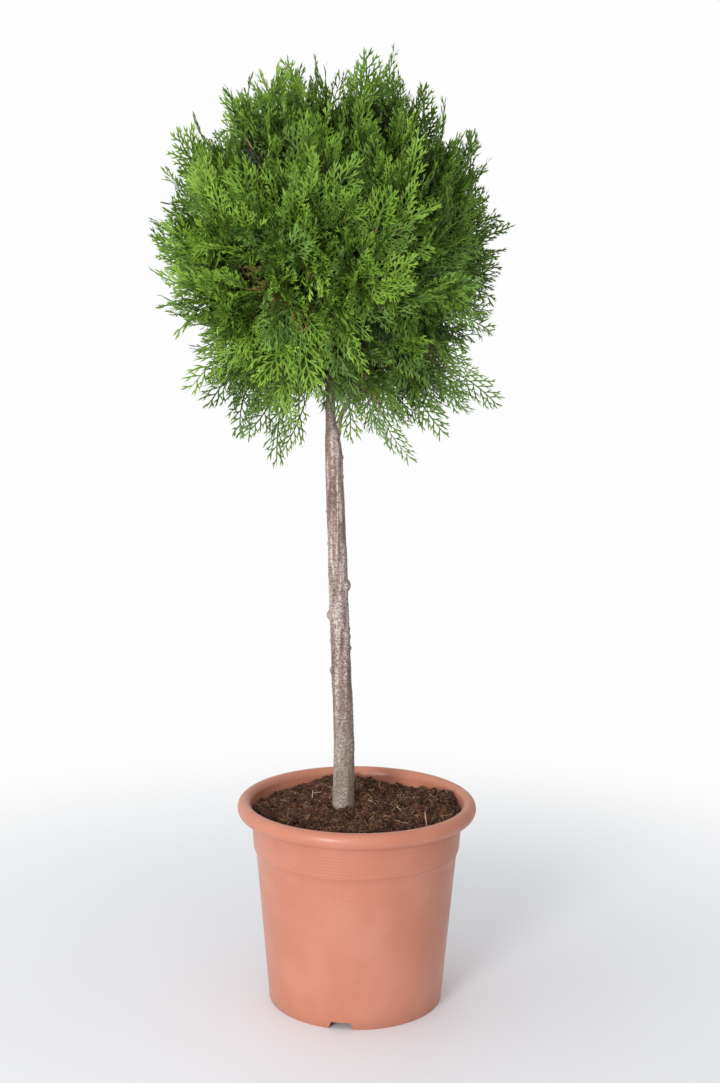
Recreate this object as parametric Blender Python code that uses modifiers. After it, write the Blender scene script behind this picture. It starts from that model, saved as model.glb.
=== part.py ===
"""A potted arborvitae, grown as a loose ball of foliage on a bare stem.

Metres, +Z up. The origin is the centre of the pot's underside, on the floor.
The pot and the soil are turned, the trunk and the boughs are tapering tubes, and the crown
is cut into masses that share out the directions from its centre. Each mass is a core with a
stem, twigs and flat toothed sprays that fan out of it to the crown's true reach.
"""

import math
import random

import bmesh
import bpy
from mathutils import Matrix, Vector, noise
from mathutils.bvhtree import BVHTree

GAP = 0.0004  # between pieces that touch
UP = Vector((0, 0, 1))

# Pot, a moulded nursery container 28 cm across
POT_STEPS = 40
FOOT_RADIUS = 0.1018
FOOT_WIDTH = 0.0034
BODY_TOP = (0.1172, 0.1756)  # radius, height where the step begins
COLLAR_FOOT = (0.1204, 0.1840)
COLLAR_TOP = (0.1230, 0.2195)
WALL = 0.0022
RIM_CENTRE = (0.1315, 0.2310)
RIM_HALF_WIDTH = 0.0080
RIM_HALF_HEIGHT = 0.0095
CENTRE_PAD_RADIUS = 0.058
RECESS_HEIGHT = 0.0095
FLOOR_THICKNESS = 0.0025
NOTCH_COUNT = 3
NOTCH_HEIGHT = 0.0085
NOTCH_FOOT_WIDTH = 0.030
NOTCH_TOP_WIDTH = 0.0225
NOTCH_AZIMUTH = math.radians(-99)
DRAIN_COUNT = 6
DRAIN_RADIUS = 0.006
DRAIN_RING_RADIUS = 0.078

# Soil, slightly heaped round the trunk
SOIL_SEAT_RADIUS = 0.036
SOIL_SEAT_HEIGHT = 0.2300
SOIL_EDGE_HEIGHT = 0.2205
SOIL_ROUGHNESS = 0.0028

# Trunk: height, sideways lean in X and in Y, diameter
TRUNK_STATIONS = (
    (0.2304, -0.0162, 0.0000, 0.0275),
    (0.2420, -0.0160, 0.0000, 0.0254),
    (0.3100, -0.0153, 0.0010, 0.0242),
    (0.3810, -0.0188, 0.0016, 0.0232),
    (0.4560, -0.0222, 0.0004, 0.0228),
    (0.5200, -0.0244, -0.0010, 0.0222),
    (0.6160, -0.0287, -0.0004, 0.0205),
    (0.6620, -0.0308, 0.0004, 0.0197),
    (0.6680, -0.0310, 0.0004, 0.0176),
)
# Leader, the trunk's thinner end above the fork
LEADER_STATIONS = (
    (0.6400, -0.0335, 0.0010, 0.0116),
    (0.6900, -0.0343, 0.0010, 0.0114),
    (0.7460, -0.0330, 0.0000, 0.0104),
    (0.8200, -0.0350, -0.0010, 0.0084),
    (0.9000, -0.0362, 0.0000, 0.0060),
    (0.9640, -0.0360, 0.0000, 0.0036),
)
# Knots left by pruned side shoots: height, azimuth in degrees, radius
KNOTS = (
    (0.3920, 175, 0.0034),
    (0.4580, 185, 0.0046),
    (0.4930, -20, 0.0058),
    (0.4180, 10, 0.0030),
    (0.6400, 5, 0.0026),
)

# Crown: its centre, and how far its sprays reach from there
CROWN_CENTRE = Vector((-0.036, 0.0, 0.868))
REACH_SIDE = 0.192
REACH_UP = 0.216
REACH_DOWN = 0.196
LUMP_SHARE = 0.13
LUMP_SCALE = 2.6
LUMP_PLACE = Vector((3.1, 7.4, 1.9))
LOWEST_TARGET = math.radians(-70)
TARGETS = 90
GOLDEN_ANGLE = math.pi * (3 - math.sqrt(5))
TIP_SHORTEST = 0.88  # share of the reach
# Long sprays that stand out of the ball: azimuth and elevation in degrees, reach from the centre
LONG_SPRAYS = (
    (-10, -36, 0.250),
    (-24, -48, 0.246),
    (-34, -64, 0.246),
    (-62, -72, 0.232),
    (-122, -74, 0.240),
    (-160, -56, 0.232),
    (-170, -38, 0.222),
    (176, -14, 0.214),
    (4, 71, 0.232),
    (150, 86, 0.216),
    (172, 62, 0.208),
    (60, -62, 0.236),
    (108, -50, 0.226),
    (140, -68, 0.230),
)

# Masses by tier: name, count, elevation in degrees, azimuth of the first, rise of its boughs
TIERS = (
    ("top", 1, 90, 0, 90),
    ("upper", 4, 46, 40, 52),
    ("middle", 6, 6, 12, 38),
    ("lower", 5, -40, -14, 36),
)
MASS_GAP = 0.0016
CORE_SHARE = 0.63  # of the reach, where a core has its centre
CORE_RADIAL = 0.026
CORE_SIDE = 0.076
CORE_ROUGHNESS = 0.35
TUFT_HEIGHT = 0.030  # of the tufts on a core's outer side
TUFTED_FROM = -0.15  # how far a face must look outwards to carry a tuft
CORE_NEAREST = 0.070  # from the crown's centre
TRUNK_ROOM = 0.026  # from the leader's axis to any core
LIMB_CLEARANCE = 0.0012
BOUGH_STOP = 0.050  # from a core's centre to the tip of its bough
BOUGH_STAGGER = 0.015  # between the roots of neighbouring boughs
BOUGH_RADIUS = 0.0044
BOUGH_TIP_RADIUS = 0.0026
SLIM_BOUGH = 0.75  # share of the full radius
FORK_MASS = "lower_1"  # its bough is the thin stem that rises from the trunk's shoulder
FORK_SIDE = 0.38  # of the trunk's diameter, from its axis to the thin stem's
STEM_RADIUS = 0.0022
TWIG_RADIUS = 0.0016
SPRAY_THICKNESS = 0.022  # share of its length
SPRAY_WIDTHS = (1.0, 0.8, 0.6)  # tried in turn, share of the full width
SPRAY_WIDEST = 0.075  # a longer spray is slimmer for its length
SPRAY_ROLLS = 6
SPRAY_ROOT_DEPTH = 0.010  # under the core's surface
SPRAY_SWEEP = 0.060  # how far a root is aimed below its tip, so that sprays sweep upwards
DROOP_SWEEP = -0.050
DROOP_BELOW = -0.35  # a direction's height, under which sprays hang
SEED = 21

PLASTIC = ("pot plastic", (0.62, 0.23, 0.13), 0.45)
SOIL = ("potting soil", (0.045, 0.022, 0.012), 0.95)
BARK = ("bark", (0.29, 0.20, 0.15), 0.85)
LEAF = ("foliage", (0.12, 0.25, 0.035), 0.60)


# ---------------------------------------------------------------- scene tools


def clear_scene():
    for thing in list(bpy.data.objects):
        bpy.data.objects.remove(thing, do_unlink=True)


def new_collection(name, hidden=False):
    made = bpy.data.collections.new(name)
    bpy.context.scene.collection.children.link(made)
    made.hide_render = hidden
    return made


def material(finish):
    name, colour, roughness = finish
    made = bpy.data.materials.get(name) or bpy.data.materials.new(name)
    made.use_nodes = True
    shader = made.node_tree.nodes["Principled BSDF"]
    shader.inputs["Base Color"].default_value = (*colour, 1)
    shader.inputs["Roughness"].default_value = roughness
    shader.inputs["Metallic"].default_value = 0.0
    return made


def add_object(name, mesh, collection, finish=None):
    made = bpy.data.objects.new(name, mesh)
    collection.objects.link(made)
    if finish:
        made.data.materials.clear()
        made.data.materials.append(material(finish))
    return made


def evaluated_mesh(thing):
    """The object's mesh with its modifiers applied, its ends welded, in world space."""
    bpy.context.view_layer.update()
    graph = bpy.context.evaluated_depsgraph_get()
    mesh = bpy.data.meshes.new_from_object(thing.evaluated_get(graph))
    mesh.transform(thing.matrix_world)
    shape = bmesh.new()
    shape.from_mesh(mesh)
    bmesh.ops.remove_doubles(shape, verts=shape.verts, dist=1e-6)
    shape.to_mesh(mesh)
    shape.free()
    return mesh


def smooth(mesh, angle=40):
    mesh.shade_smooth()
    mesh.set_sharp_from_angle(angle=math.radians(angle))


def joined(target, parts_collection, solver="EXACT"):
    """Unions every object of the collection into the target, applies it, and removes them."""
    union = target.modifiers.new("join", "BOOLEAN")
    union.operation = "UNION"
    union.operand_type = "COLLECTION"
    union.collection = parts_collection
    union.solver = solver
    mesh = evaluated_mesh(target)
    target.modifiers.remove(union)
    target.data = mesh
    target.matrix_world = Matrix.Identity(4)
    for part in list(parts_collection.objects):
        bpy.data.objects.remove(part, do_unlink=True)
    bpy.data.collections.remove(parts_collection)
    return mesh


def outer_shell(mesh):
    """Keeps the largest body: drops loose scraps and the skins of sealed hollows."""
    shape = bmesh.new()
    shape.from_mesh(mesh)
    unseen, bodies = set(shape.faces), []
    while unseen:
        body, front = [], [unseen.pop()]
        while front:
            face = front.pop()
            body.append(face)
            shared = [edge.link_faces for edge in face.edges if len(edge.link_faces) == 2]
            near = {other for pair in shared for other in pair} & unseen
            unseen -= near
            front.extend(near)
        bodies.append(body)
    largest = max(bodies, key=len)
    scraps = [face for body in bodies if body is not largest for face in body]
    bmesh.ops.delete(shape, geom=scraps, context="FACES")
    shape.to_mesh(mesh)
    shape.free()


# ---------------------------------------------------------------- pot and soil


def turned(name, profile, collection, finish):
    """Turns (radius, height) points about Z. They run up the inside and down the outside."""
    points = [(radius, 0, height) for radius, height in profile]
    edges = [(i, i + 1) for i in range(len(points) - 1)]
    mesh = bpy.data.meshes.new(name)
    mesh.from_pydata(points, edges, [])
    made = add_object(name, mesh, collection, finish)
    screw = made.modifiers.new("turn", "SCREW")
    screw.steps = screw.render_steps = POT_STEPS
    screw.use_merge_vertices = True
    screw.merge_threshold = 0.00005
    screw.use_smooth_shade = True
    return made


def rim_arc(first, last, count):
    """Points round the rolled rim, by angle in degrees from straight outwards."""
    for i in range(count):
        angle = math.radians(first + (last - first) * i / (count - 1))
        yield (
            RIM_CENTRE[0] + RIM_HALF_WIDTH * math.cos(angle),
            RIM_CENTRE[1] + RIM_HALF_HEIGHT * math.sin(angle),
        )


def pot_inside():
    """The inner wall and floor, from the axis outwards and up."""
    pad = CENTRE_PAD_RADIUS - FLOOR_THICKNESS
    raised = RECESS_HEIGHT + FLOOR_THICKNESS
    foot_wall = FOOT_RADIUS + (BODY_TOP[0] - FOOT_RADIUS) * raised / BODY_TOP[1] - WALL
    return [
        (0, FLOOR_THICKNESS),
        (pad, FLOOR_THICKNESS),
        (pad + 0.002, raised),
        (foot_wall, raised),
        (BODY_TOP[0] - WALL, BODY_TOP[1]),
        (COLLAR_FOOT[0] - WALL, COLLAR_FOOT[1]),
        (COLLAR_TOP[0] - WALL, COLLAR_TOP[1]),
    ]


def notch_cutter(azimuth, collection):
    """A trapezoid bar that cuts one drainage notch through the foot ring."""
    outline = bpy.data.curves.new("notch", "CURVE")
    outline.dimensions = "2D"
    outline.fill_mode = "BOTH"
    outline.extrude = 0.010
    spline = outline.splines.new("POLY")
    below = 0.004
    spread = (NOTCH_FOOT_WIDTH - NOTCH_TOP_WIDTH) / NOTCH_HEIGHT * below
    foot = (NOTCH_FOOT_WIDTH + spread) / 2
    corners = (
        (-foot, -below),
        (foot, -below),
        (NOTCH_TOP_WIDTH / 2, NOTCH_HEIGHT),
        (-NOTCH_TOP_WIDTH / 2, NOTCH_HEIGHT),
    )
    spline.points.add(len(corners) - 1)
    for point, (x, y) in zip(spline.points, corners):
        point.co = (x, y, 0, 1)
    spline.use_cyclic_u = True
    bar = add_object("notch", outline, collection)
    bar.matrix_world = (
        Matrix.Rotation(azimuth + math.pi / 2, 4, "Z")
        @ Matrix.Translation((0, -FOOT_RADIUS, 0))
        @ Matrix.Rotation(math.pi / 2, 4, "X")
    )
    return bar


def drain_cutter(azimuth, collection):
    shape = bmesh.new()
    bmesh.ops.create_cone(
        shape,
        cap_ends=True,
        segments=12,
        radius1=DRAIN_RADIUS,
        radius2=DRAIN_RADIUS,
        depth=4 * FLOOR_THICKNESS,
    )
    mesh = bpy.data.meshes.new("drain")
    shape.to_mesh(mesh)
    shape.free()
    hole = add_object("drain", mesh, collection)
    hole.location = (
        DRAIN_RING_RADIUS * math.cos(azimuth),
        DRAIN_RING_RADIUS * math.sin(azimuth),
        RECESS_HEIGHT + FLOOR_THICKNESS / 2,
    )
    return hole


def build_pot(collection):
    """The container: rolled rim, collar with a step, foot ring with notches, drain holes."""
    profile = [
        *pot_inside(),
        *rim_arc(190, -130, 10),
        COLLAR_TOP,
        COLLAR_FOOT,
        BODY_TOP,
        (FOOT_RADIUS, 0),
        (FOOT_RADIUS - FOOT_WIDTH, 0),
        (FOOT_RADIUS - FOOT_WIDTH - 0.001, RECESS_HEIGHT),
        (CENTRE_PAD_RADIUS + 0.002, RECESS_HEIGHT),
        (CENTRE_PAD_RADIUS, 0),
        (0, 0),
    ]
    pot = turned("pot", profile, collection, PLASTIC)
    cutters = new_collection("pot cutters", hidden=True)
    for i in range(NOTCH_COUNT):
        bar = notch_cutter(NOTCH_AZIMUTH + i * math.tau / NOTCH_COUNT, cutters)
        mesh = evaluated_mesh(bar)
        bpy.data.objects.remove(bar, do_unlink=True)
        add_object(f"notch cutter {i + 1}", mesh, cutters)
    for i in range(DRAIN_COUNT):
        hole = drain_cutter(NOTCH_AZIMUTH + (i + 0.5) * math.tau / DRAIN_COUNT, cutters)
        hole.name = f"drain cutter {i + 1}"
    for cutter in cutters.objects:
        cutter.hide_render = True
        cutter.display_type = "WIRE"
    cut = pot.modifiers.new("notches and drains", "BOOLEAN")
    cut.operation = "DIFFERENCE"
    cut.operand_type = "COLLECTION"
    cut.collection = cutters
    return pot


def build_soil(collection):
    """The soil that fills the pot, heaped to a flat seat for the trunk."""
    slope = 0.6 * GAP
    lining = [(max(0, radius - GAP), height + slope) for radius, height in pot_inside()]
    edge = lining[-1][0]
    lining[-1] = (edge, SOIL_EDGE_HEIGHT)
    ring_count = 4
    heap = []
    for i in range(1, ring_count + 1):
        share = i / ring_count
        radius = edge + (SOIL_SEAT_RADIUS - edge) * share
        rise = (1 - math.cos(share * math.pi)) / 2
        heap.append((radius, SOIL_EDGE_HEIGHT + (SOIL_SEAT_HEIGHT - SOIL_EDGE_HEIGHT) * rise))
    # turned the other way round from a wall: up the outside last, so it is reversed
    profile = [(0, SOIL_SEAT_HEIGHT), *reversed(heap), *reversed(lining)]
    soil = turned("soil", profile, collection, SOIL)
    mesh = evaluated_mesh(soil)
    soil.modifiers.clear()
    soil.data = mesh
    for vertex in mesh.vertices:
        radius = math.hypot(vertex.co.x, vertex.co.y)
        if vertex.co.z > SOIL_EDGE_HEIGHT + 0.001 and radius > SOIL_SEAT_RADIUS + 0.005:
            vertex.co.z += SOIL_ROUGHNESS * noise.noise(vertex.co * 40)
    smooth(mesh)
    return soil


# ---------------------------------------------------------------- trunk and boughs


def tube(name, stations, collection, finish, bevel_resolution):
    """A tapering limb with filled ends, through (point, radius) stations."""
    curve = bpy.data.curves.new(name, "CURVE")
    curve.dimensions = "3D"
    curve.bevel_depth = 0.01
    curve.bevel_resolution = bevel_resolution
    curve.use_fill_caps = True
    spline = curve.splines.new("POLY")
    spline.points.add(len(stations) - 1)
    for point, (place, radius) in zip(spline.points, stations):
        point.co = (*place, 1)
        point.radius = radius / curve.bevel_depth
    drawn = add_object(name, curve, collection)
    mesh = evaluated_mesh(drawn)
    bpy.data.objects.remove(drawn, do_unlink=True)
    made = add_object(name, mesh, collection, finish)
    smooth(mesh, 60)
    return made


def at_height(stations, height):
    """The limb's centre and radius at a height, between its stations."""
    for low, high in zip(stations, stations[1:]):
        if height <= high[0] or high is stations[-1]:
            share = min(1, max(0, (height - low[0]) / (high[0] - low[0])))
            x, y, diameter = (
                low[i] + (high[i] - low[i]) * share for i in (1, 2, 3)
            )
            return Vector((x, y, height)), diameter / 2


def limb_stations(rows):
    return [(Vector((x, y, height)), diameter / 2) for height, x, y, diameter in rows]


def build_trunk(collection):
    """The stem from its flat cut on the soil, its knots, and the leader through the crown."""
    trunk = tube("trunk", limb_stations(TRUNK_STATIONS), collection, BARK, 4)
    extras = new_collection("trunk parts")
    tube("leader", limb_stations(LEADER_STATIONS), extras, BARK, 3)
    for height, azimuth, radius in KNOTS:
        centre, trunk_radius = at_height(TRUNK_STATIONS, height)
        out = Vector((math.cos(math.radians(azimuth)), math.sin(math.radians(azimuth)), 0))
        shape = bmesh.new()
        bmesh.ops.create_icosphere(shape, subdivisions=2, radius=radius)
        mesh = bpy.data.meshes.new("knot")
        shape.to_mesh(mesh)
        shape.free()
        knot = add_object("knot", mesh, extras)
        knot.location = centre + out * (trunk_radius - 0.35 * radius)
        knot.scale = (1, 1, 1.3)
    joined(trunk, extras)
    outer_shell(trunk.data)
    trunk.data.materials.clear()
    trunk.data.materials.append(material(BARK))
    smooth(trunk.data, 60)
    return trunk


def bough_path(root, tip, out, count=5):
    """Leaves the trunk square to it, then sweeps up to the tip."""
    start = root + out * 0.004
    bend = start + out * (tip - start).length * 0.35
    points = [root]
    for i in range(count):
        share = i / (count - 1)
        near = start.lerp(bend, share)
        points.append(near.lerp(bend.lerp(tip, share), share))
    return points


# ---------------------------------------------------------------- crown


def reach(way):
    """How far the ball of foliage goes from the crown's centre in a direction."""
    vertical = REACH_UP if way.z > 0 else REACH_DOWN
    flat = (way.x**2 + way.y**2) / REACH_SIDE**2
    plain = 1 / math.sqrt(flat + (way.z / vertical) ** 2)
    return plain * (1 + LUMP_SHARE * noise.noise(way * LUMP_SCALE + LUMP_PLACE))


def direction(azimuth, elevation):
    a, e = math.radians(azimuth), math.radians(elevation)
    return Vector((math.cos(a) * math.cos(e), math.sin(a) * math.cos(e), math.sin(e)))


def list_masses():
    """Each mass's name, its aim from the crown's centre, and the rise of its bough."""
    masses = []
    for tier, count, elevation, first, rise in TIERS:
        for i in range(count):
            name = tier if count == 1 else f"{tier}_{i + 1}"
            aim = direction(first + i * 360 / count, elevation)
            level = i % (3 if count % 2 else 2)
            masses.append(
                {
                    "name": name,
                    "tier": tier,
                    "aim": aim,
                    "rise": math.radians(rise),
                    "stagger": level * BOUGH_STAGGER,
                }
            )
    for mass in masses:
        mass["centre"] = CROWN_CENTRE + mass["aim"] * CORE_SHARE * reach(mass["aim"])
        mass["walls"] = [
            (other["aim"] - mass["aim"]).normalized() for other in masses if other is not mass
        ]
    return masses


def list_targets(rng):
    """Each spray's direction, tip and teeth a side: evenly shared out, then the long sprays."""
    targets = []
    for i in range(TARGETS):
        z = 1 - 2 * (i + 0.5) / TARGETS
        if math.asin(z) < LOWEST_TARGET:
            continue
        flat = math.sqrt(1 - z * z)
        azimuth = i * GOLDEN_ANGLE
        way = Vector((flat * math.cos(azimuth), flat * math.sin(azimuth), z))
        length = reach(way) * rng.uniform(TIP_SHORTEST, 1.0)
        targets.append((way, CROWN_CENTRE + way * length, 1))
    for azimuth, elevation, length in LONG_SPRAYS:
        way = direction(azimuth, elevation)
        targets.append((way, CROWN_CENTRE + way * length, 2))
    return targets


def inside(mass, point, gap=MASS_GAP):
    """Whether a point lies in the mass's own share of the crown."""
    return all((point - CROWN_CENTRE).dot(wall) < -gap / 2 for wall in mass["walls"])


def core_mesh(mass, limbs):
    """A lumpy core, drawn in wherever it would leave the mass's space or near the trunk."""
    centre, aim = mass["centre"], mass["aim"]
    shape = bmesh.new()
    bmesh.ops.create_icosphere(shape, subdivisions=2, radius=1)
    for vertex in shape.verts:
        way = vertex.co.normalized()
        along = way.dot(aim)
        full = 1 / math.sqrt((along / CORE_RADIAL) ** 2 + (1 - along**2) / CORE_SIDE**2)
        full *= 1 + CORE_ROUGHNESS * noise.noise(way * 9 + centre * 50)
        length = full
        while length > 0.1 * full:
            point = centre + way * length
            axis, _ = at_height(LEADER_STATIONS, point.z)
            clear_of_trunk = math.hypot(point.x - axis.x, point.y - axis.y) > TRUNK_ROOM
            clear_of_middle = (point - CROWN_CENTRE).length > CORE_NEAREST
            if inside(mass, point) and (clear_of_trunk or mass["tier"] == "top") and clear_of_middle:
                break
            length *= 0.94
        vertex.co = centre + way * length
    mesh = bpy.data.meshes.new("core")
    shape.to_mesh(mesh)
    shape.free()
    shrink = Matrix.Translation(centre) @ Matrix.Scale(0.92, 4) @ Matrix.Translation(-centre)
    while not clear_of_limbs(mesh, Matrix.Identity(4), limbs):
        mesh.transform(shrink)
    return mesh


def tufted(core, mass, limbs, rng):
    """The core with a short tuft on each outer face, so that none of it is smooth."""
    height = TUFT_HEIGHT
    while True:
        shape = bmesh.new()
        shape.from_mesh(core)
        shape.normal_update()
        outer = [face for face in shape.faces if face.normal.dot(mass["aim"]) > TUFTED_FROM]
        for tuft in bmesh.ops.poke(shape, faces=outer)["verts"]:
            heading = (tuft.co - mass["centre"]).normalized() + 0.3 * UP
            length = height * rng.uniform(0.6, 1.2)
            while not inside(mass, tuft.co + heading * length):
                length *= 0.8
            tuft.co += heading * length
        mesh = bpy.data.meshes.new("tufted core")
        shape.to_mesh(mesh)
        shape.free()
        if clear_of_limbs(mesh, Matrix.Identity(4), limbs):
            return mesh
        height *= 0.7


def spray_mesh(teeth):
    """A flat toothed blade along X, one long, with this many teeth on each side."""
    side = []
    for i in range(teeth):
        share = (i + 1) / (teeth + 1)
        notch = 0.30 + 0.52 * share
        tooth = notch + 0.16
        half = 0.40 - 0.12 * share
        side += [(tooth - 0.02, half), (notch + 0.06, 0.30 * half)]
    outline = [(0, 0.03), *side, (1, 0)]
    outline += [(x, -y) for x, y in reversed(outline[:-1])]
    curve = bpy.data.curves.new("spray outline", "CURVE")
    curve.dimensions = "2D"
    curve.fill_mode = "BOTH"
    curve.extrude = SPRAY_THICKNESS / 2
    spline = curve.splines.new("POLY")
    spline.points.add(len(outline) - 1)
    for point, (x, y) in zip(spline.points, outline):
        point.co = (x, y, 0, 1)
    spline.use_cyclic_u = True
    drawn = add_object("spray outline", curve, bpy.context.scene.collection)
    mesh = evaluated_mesh(drawn)
    bpy.data.objects.remove(drawn, do_unlink=True)
    return mesh


def spray_place(root, tip, roll, width):
    """The matrix that lays a blade from its root to its tip, turned about its own length."""
    along = (tip - root).normalized()
    side = along.cross(UP if abs(along.z) < 0.9 else Vector((1, 0, 0))).normalized()
    across = Matrix.Rotation(roll, 3, along) @ side
    normal = along.cross(across)
    length = (tip - root).length
    turn = Matrix((along, across, normal)).transposed().to_4x4()
    return Matrix.Translation(root) @ turn @ Matrix.Diagonal((length, length * width, length, 1))


def search_tree(mesh, place):
    points = [place @ vertex.co for vertex in mesh.vertices]
    return BVHTree.FromPolygons(points, [tuple(face.vertices) for face in mesh.polygons])


def clear_of_limbs(mesh, place, limbs):
    skin = search_tree(mesh, place)
    return not any(skin.overlap(limb) for limb in limbs)


def spray_root(centre, tip, sweep, skin):
    """A point just under the core's surface, aimed below the tip by the sweep."""
    heading = (tip - UP * sweep - centre).normalized()
    distance = skin.ray_cast(centre, heading)[3]
    return centre + heading * max(0.4 * distance, distance - SPRAY_ROOT_DEPTH)


def place_spray(mass, root, tip, rng, blade, limbs):
    """The first roll and width that keep the blade in its space, or None."""
    roll = rng.gauss(0, 0.5)
    slim = min(1, SPRAY_WIDEST / (tip - root).length)
    for width in (slim * share for share in SPRAY_WIDTHS):
        for turn in range(SPRAY_ROLLS):
            place = spray_place(root, tip, roll + turn * math.pi / SPRAY_ROLLS, width)
            kept = all(inside(mass, place @ vertex.co) for vertex in blade.vertices)
            if kept and clear_of_limbs(blade, place, limbs):
                return place
    return None


def twig_mesh(start, end, radius):
    """A three-sided twig between two points."""
    shape = bmesh.new()
    along = end - start
    bmesh.ops.create_cone(
        shape, cap_ends=True, segments=3, radius1=radius, radius2=radius * 0.6, depth=along.length
    )
    turn = along.to_track_quat("Z", "Y").to_matrix().to_4x4()
    bmesh.ops.transform(
        shape, matrix=Matrix.Translation((start + end) / 2) @ turn, verts=shape.verts
    )
    mesh = bpy.data.meshes.new("twig")
    shape.to_mesh(mesh)
    shape.free()
    return mesh


def limb_skins(limbs):
    """Search trees of the limbs, grown by the clearance that foliage keeps."""
    skins = []
    for limb in limbs:
        shape = bmesh.new()
        shape.from_mesh(limb.data)
        shape.normal_update()
        for vertex in shape.verts:
            vertex.co += vertex.normal * LIMB_CLEARANCE
        skins.append(BVHTree.FromBMesh(shape))
        shape.free()
    return skins


def build_bough(mass, collection):
    """The limb that carries a mass, from the trunk to just short of the mass's stem."""
    centre, aim = mass["centre"], mass["aim"]
    if mass["name"] == "top":
        height, x, y, _ = LEADER_STATIONS[-1]
        mass["stem_start"] = Vector((x, y, height + GAP))
        return None
    flat = Vector((aim.x, aim.y, 0)).normalized()
    if mass["name"] == FORK_MASS:
        height, x, _, diameter = TRUNK_STATIONS[-1]
        root = Vector((x + FORK_SIDE * diameter, 0.0004, height + GAP))
        out = UP
    else:
        spread = (centre - CROWN_CENTRE).xy.length
        height = centre.z - math.tan(mass["rise"]) * spread + mass["stagger"]
        trunk_centre, trunk_radius = at_height(LEADER_STATIONS, height)
        root, out = trunk_centre + flat * (trunk_radius + GAP), flat
    tip = centre - (centre - root).normalized() * BOUGH_STOP
    path = bough_path(root, tip, out)
    slim = mass["tier"] == "upper" or mass["name"] == FORK_MASS
    thick = SLIM_BOUGH if slim else 1.0
    last = len(path) - 1
    stations = [
        (point, thick * (BOUGH_RADIUS + (BOUGH_TIP_RADIUS - BOUGH_RADIUS) * i / last))
        for i, point in enumerate(path)
    ]
    heading = (path[-1] - path[-2]).normalized()
    mass["stem_start"] = path[-1] + heading * GAP
    return tube(f"bough_{mass['name']}", stations, collection, BARK, 1)


def build_mass(mass, targets, blades, limbs, rng, collection):
    """One mass: core, stem, twigs and the sprays that stand out of it, made one solid."""
    name = f"foliage_{mass['name']}"
    core = core_mesh(mass, limbs)
    skin = search_tree(core, Matrix.Identity(4))
    body = add_object(name, tufted(core, mass, limbs, rng), collection)
    bits = new_collection(name + " bits")
    start = mass["stem_start"]
    add_object("stem", twig_mesh(start, mass["centre"], STEM_RADIUS), bits)
    sprays = 0
    for way, tip, teeth in targets:
        if not inside(mass, CROWN_CENTRE + way * 0.1, 0):
            continue
        blade = blades[teeth]
        sweep = DROOP_SWEEP if way.z < DROOP_BELOW else SPRAY_SWEEP
        root = spray_root(mass["centre"], tip, sweep, skin)
        place = place_spray(mass, root, tip, rng, blade, limbs)
        if place is None:
            continue
        spray = add_object("spray", blade, bits)
        spray.matrix_world = place
        twig = twig_mesh(mass["centre"], place @ Vector((0.42, 0, 0)), TWIG_RADIUS)
        if sprays % 3 == 0 and clear_of_limbs(twig, Matrix.Identity(4), limbs):
            add_object("twig", twig, bits)
        sprays += 1
    joined(body, bits, "MANIFOLD")
    outer_shell(body.data)
    body.data.materials.clear()
    body.data.materials.append(material(LEAF))
    return body


def main():
    clear_scene()
    plant = new_collection("potted arborvitae")
    build_pot(plant)
    build_soil(plant)
    trunk = build_trunk(plant)
    rng = random.Random(SEED)
    masses = list_masses()
    boughs = [build_bough(mass, plant) for mass in masses]
    limbs = limb_skins([trunk, *filter(None, boughs)])
    targets = list_targets(rng)
    blades = {1: spray_mesh(1), 2: spray_mesh(2)}
    for mass in masses:
        build_mass(mass, targets, blades, limbs, rng, plant)


main()
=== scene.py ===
"""Looks of a potted arborvitae: a ball of flat green sprays on a bare stem, in a nursery pot.

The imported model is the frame. Finer pieces stand for its solids: a turned pot, loose soil with
crumbs and fibres, one stem with its bark, and a crown that grows from the same rule as the
solids' crown, carried on to twigs and to sprays of scale leaves.
"""

import logging
import math
from dataclasses import dataclass, field
from enum import Enum

import bpy
import numpy as np
from mathutils import Matrix, Vector, noise


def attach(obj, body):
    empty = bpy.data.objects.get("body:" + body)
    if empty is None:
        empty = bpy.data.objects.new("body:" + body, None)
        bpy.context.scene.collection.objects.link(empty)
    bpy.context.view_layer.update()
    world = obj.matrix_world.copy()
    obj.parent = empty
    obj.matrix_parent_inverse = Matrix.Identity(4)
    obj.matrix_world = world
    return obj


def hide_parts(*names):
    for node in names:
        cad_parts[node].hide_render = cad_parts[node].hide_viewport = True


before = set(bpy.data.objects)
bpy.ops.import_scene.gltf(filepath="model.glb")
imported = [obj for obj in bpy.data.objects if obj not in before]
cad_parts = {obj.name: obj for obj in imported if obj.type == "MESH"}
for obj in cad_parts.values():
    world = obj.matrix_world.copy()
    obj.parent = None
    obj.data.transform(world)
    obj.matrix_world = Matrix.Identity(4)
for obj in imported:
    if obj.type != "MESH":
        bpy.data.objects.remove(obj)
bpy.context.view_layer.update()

LOG = logging.getLogger("potted_arborvitae")
UP = Vector((0.0, 0.0, 1.0))
GOLDEN_ANGLE = math.pi * (3 - math.sqrt(5))

Piece = bpy.types.Object
Socket = bpy.types.NodeSocket
Array = np.ndarray
Rng = np.random.Generator
Colour = tuple[float, float, float, float]
Station = tuple[Vector, float]
Profile = list[tuple[float, float]]


# ---------------- working in the scene


def deselect_all() -> None:
    """Leaves edit mode and clears the selection."""
    if bpy.context.object and bpy.context.object.mode != "OBJECT":
        bpy.ops.object.mode_set(mode="OBJECT")
    bpy.ops.object.select_all(action="DESELECT")


def make_active(piece: Piece) -> None:
    """Selects one object alone and makes it active.

    Args:
        piece: the object.
    """
    deselect_all()
    piece.select_set(True)
    bpy.context.view_layer.objects.active = piece


def apply_modifier(piece: Piece, name: str) -> None:
    """Applies one modifier of a piece."""
    make_active(piece)
    bpy.ops.object.modifier_apply(modifier=name)


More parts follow.
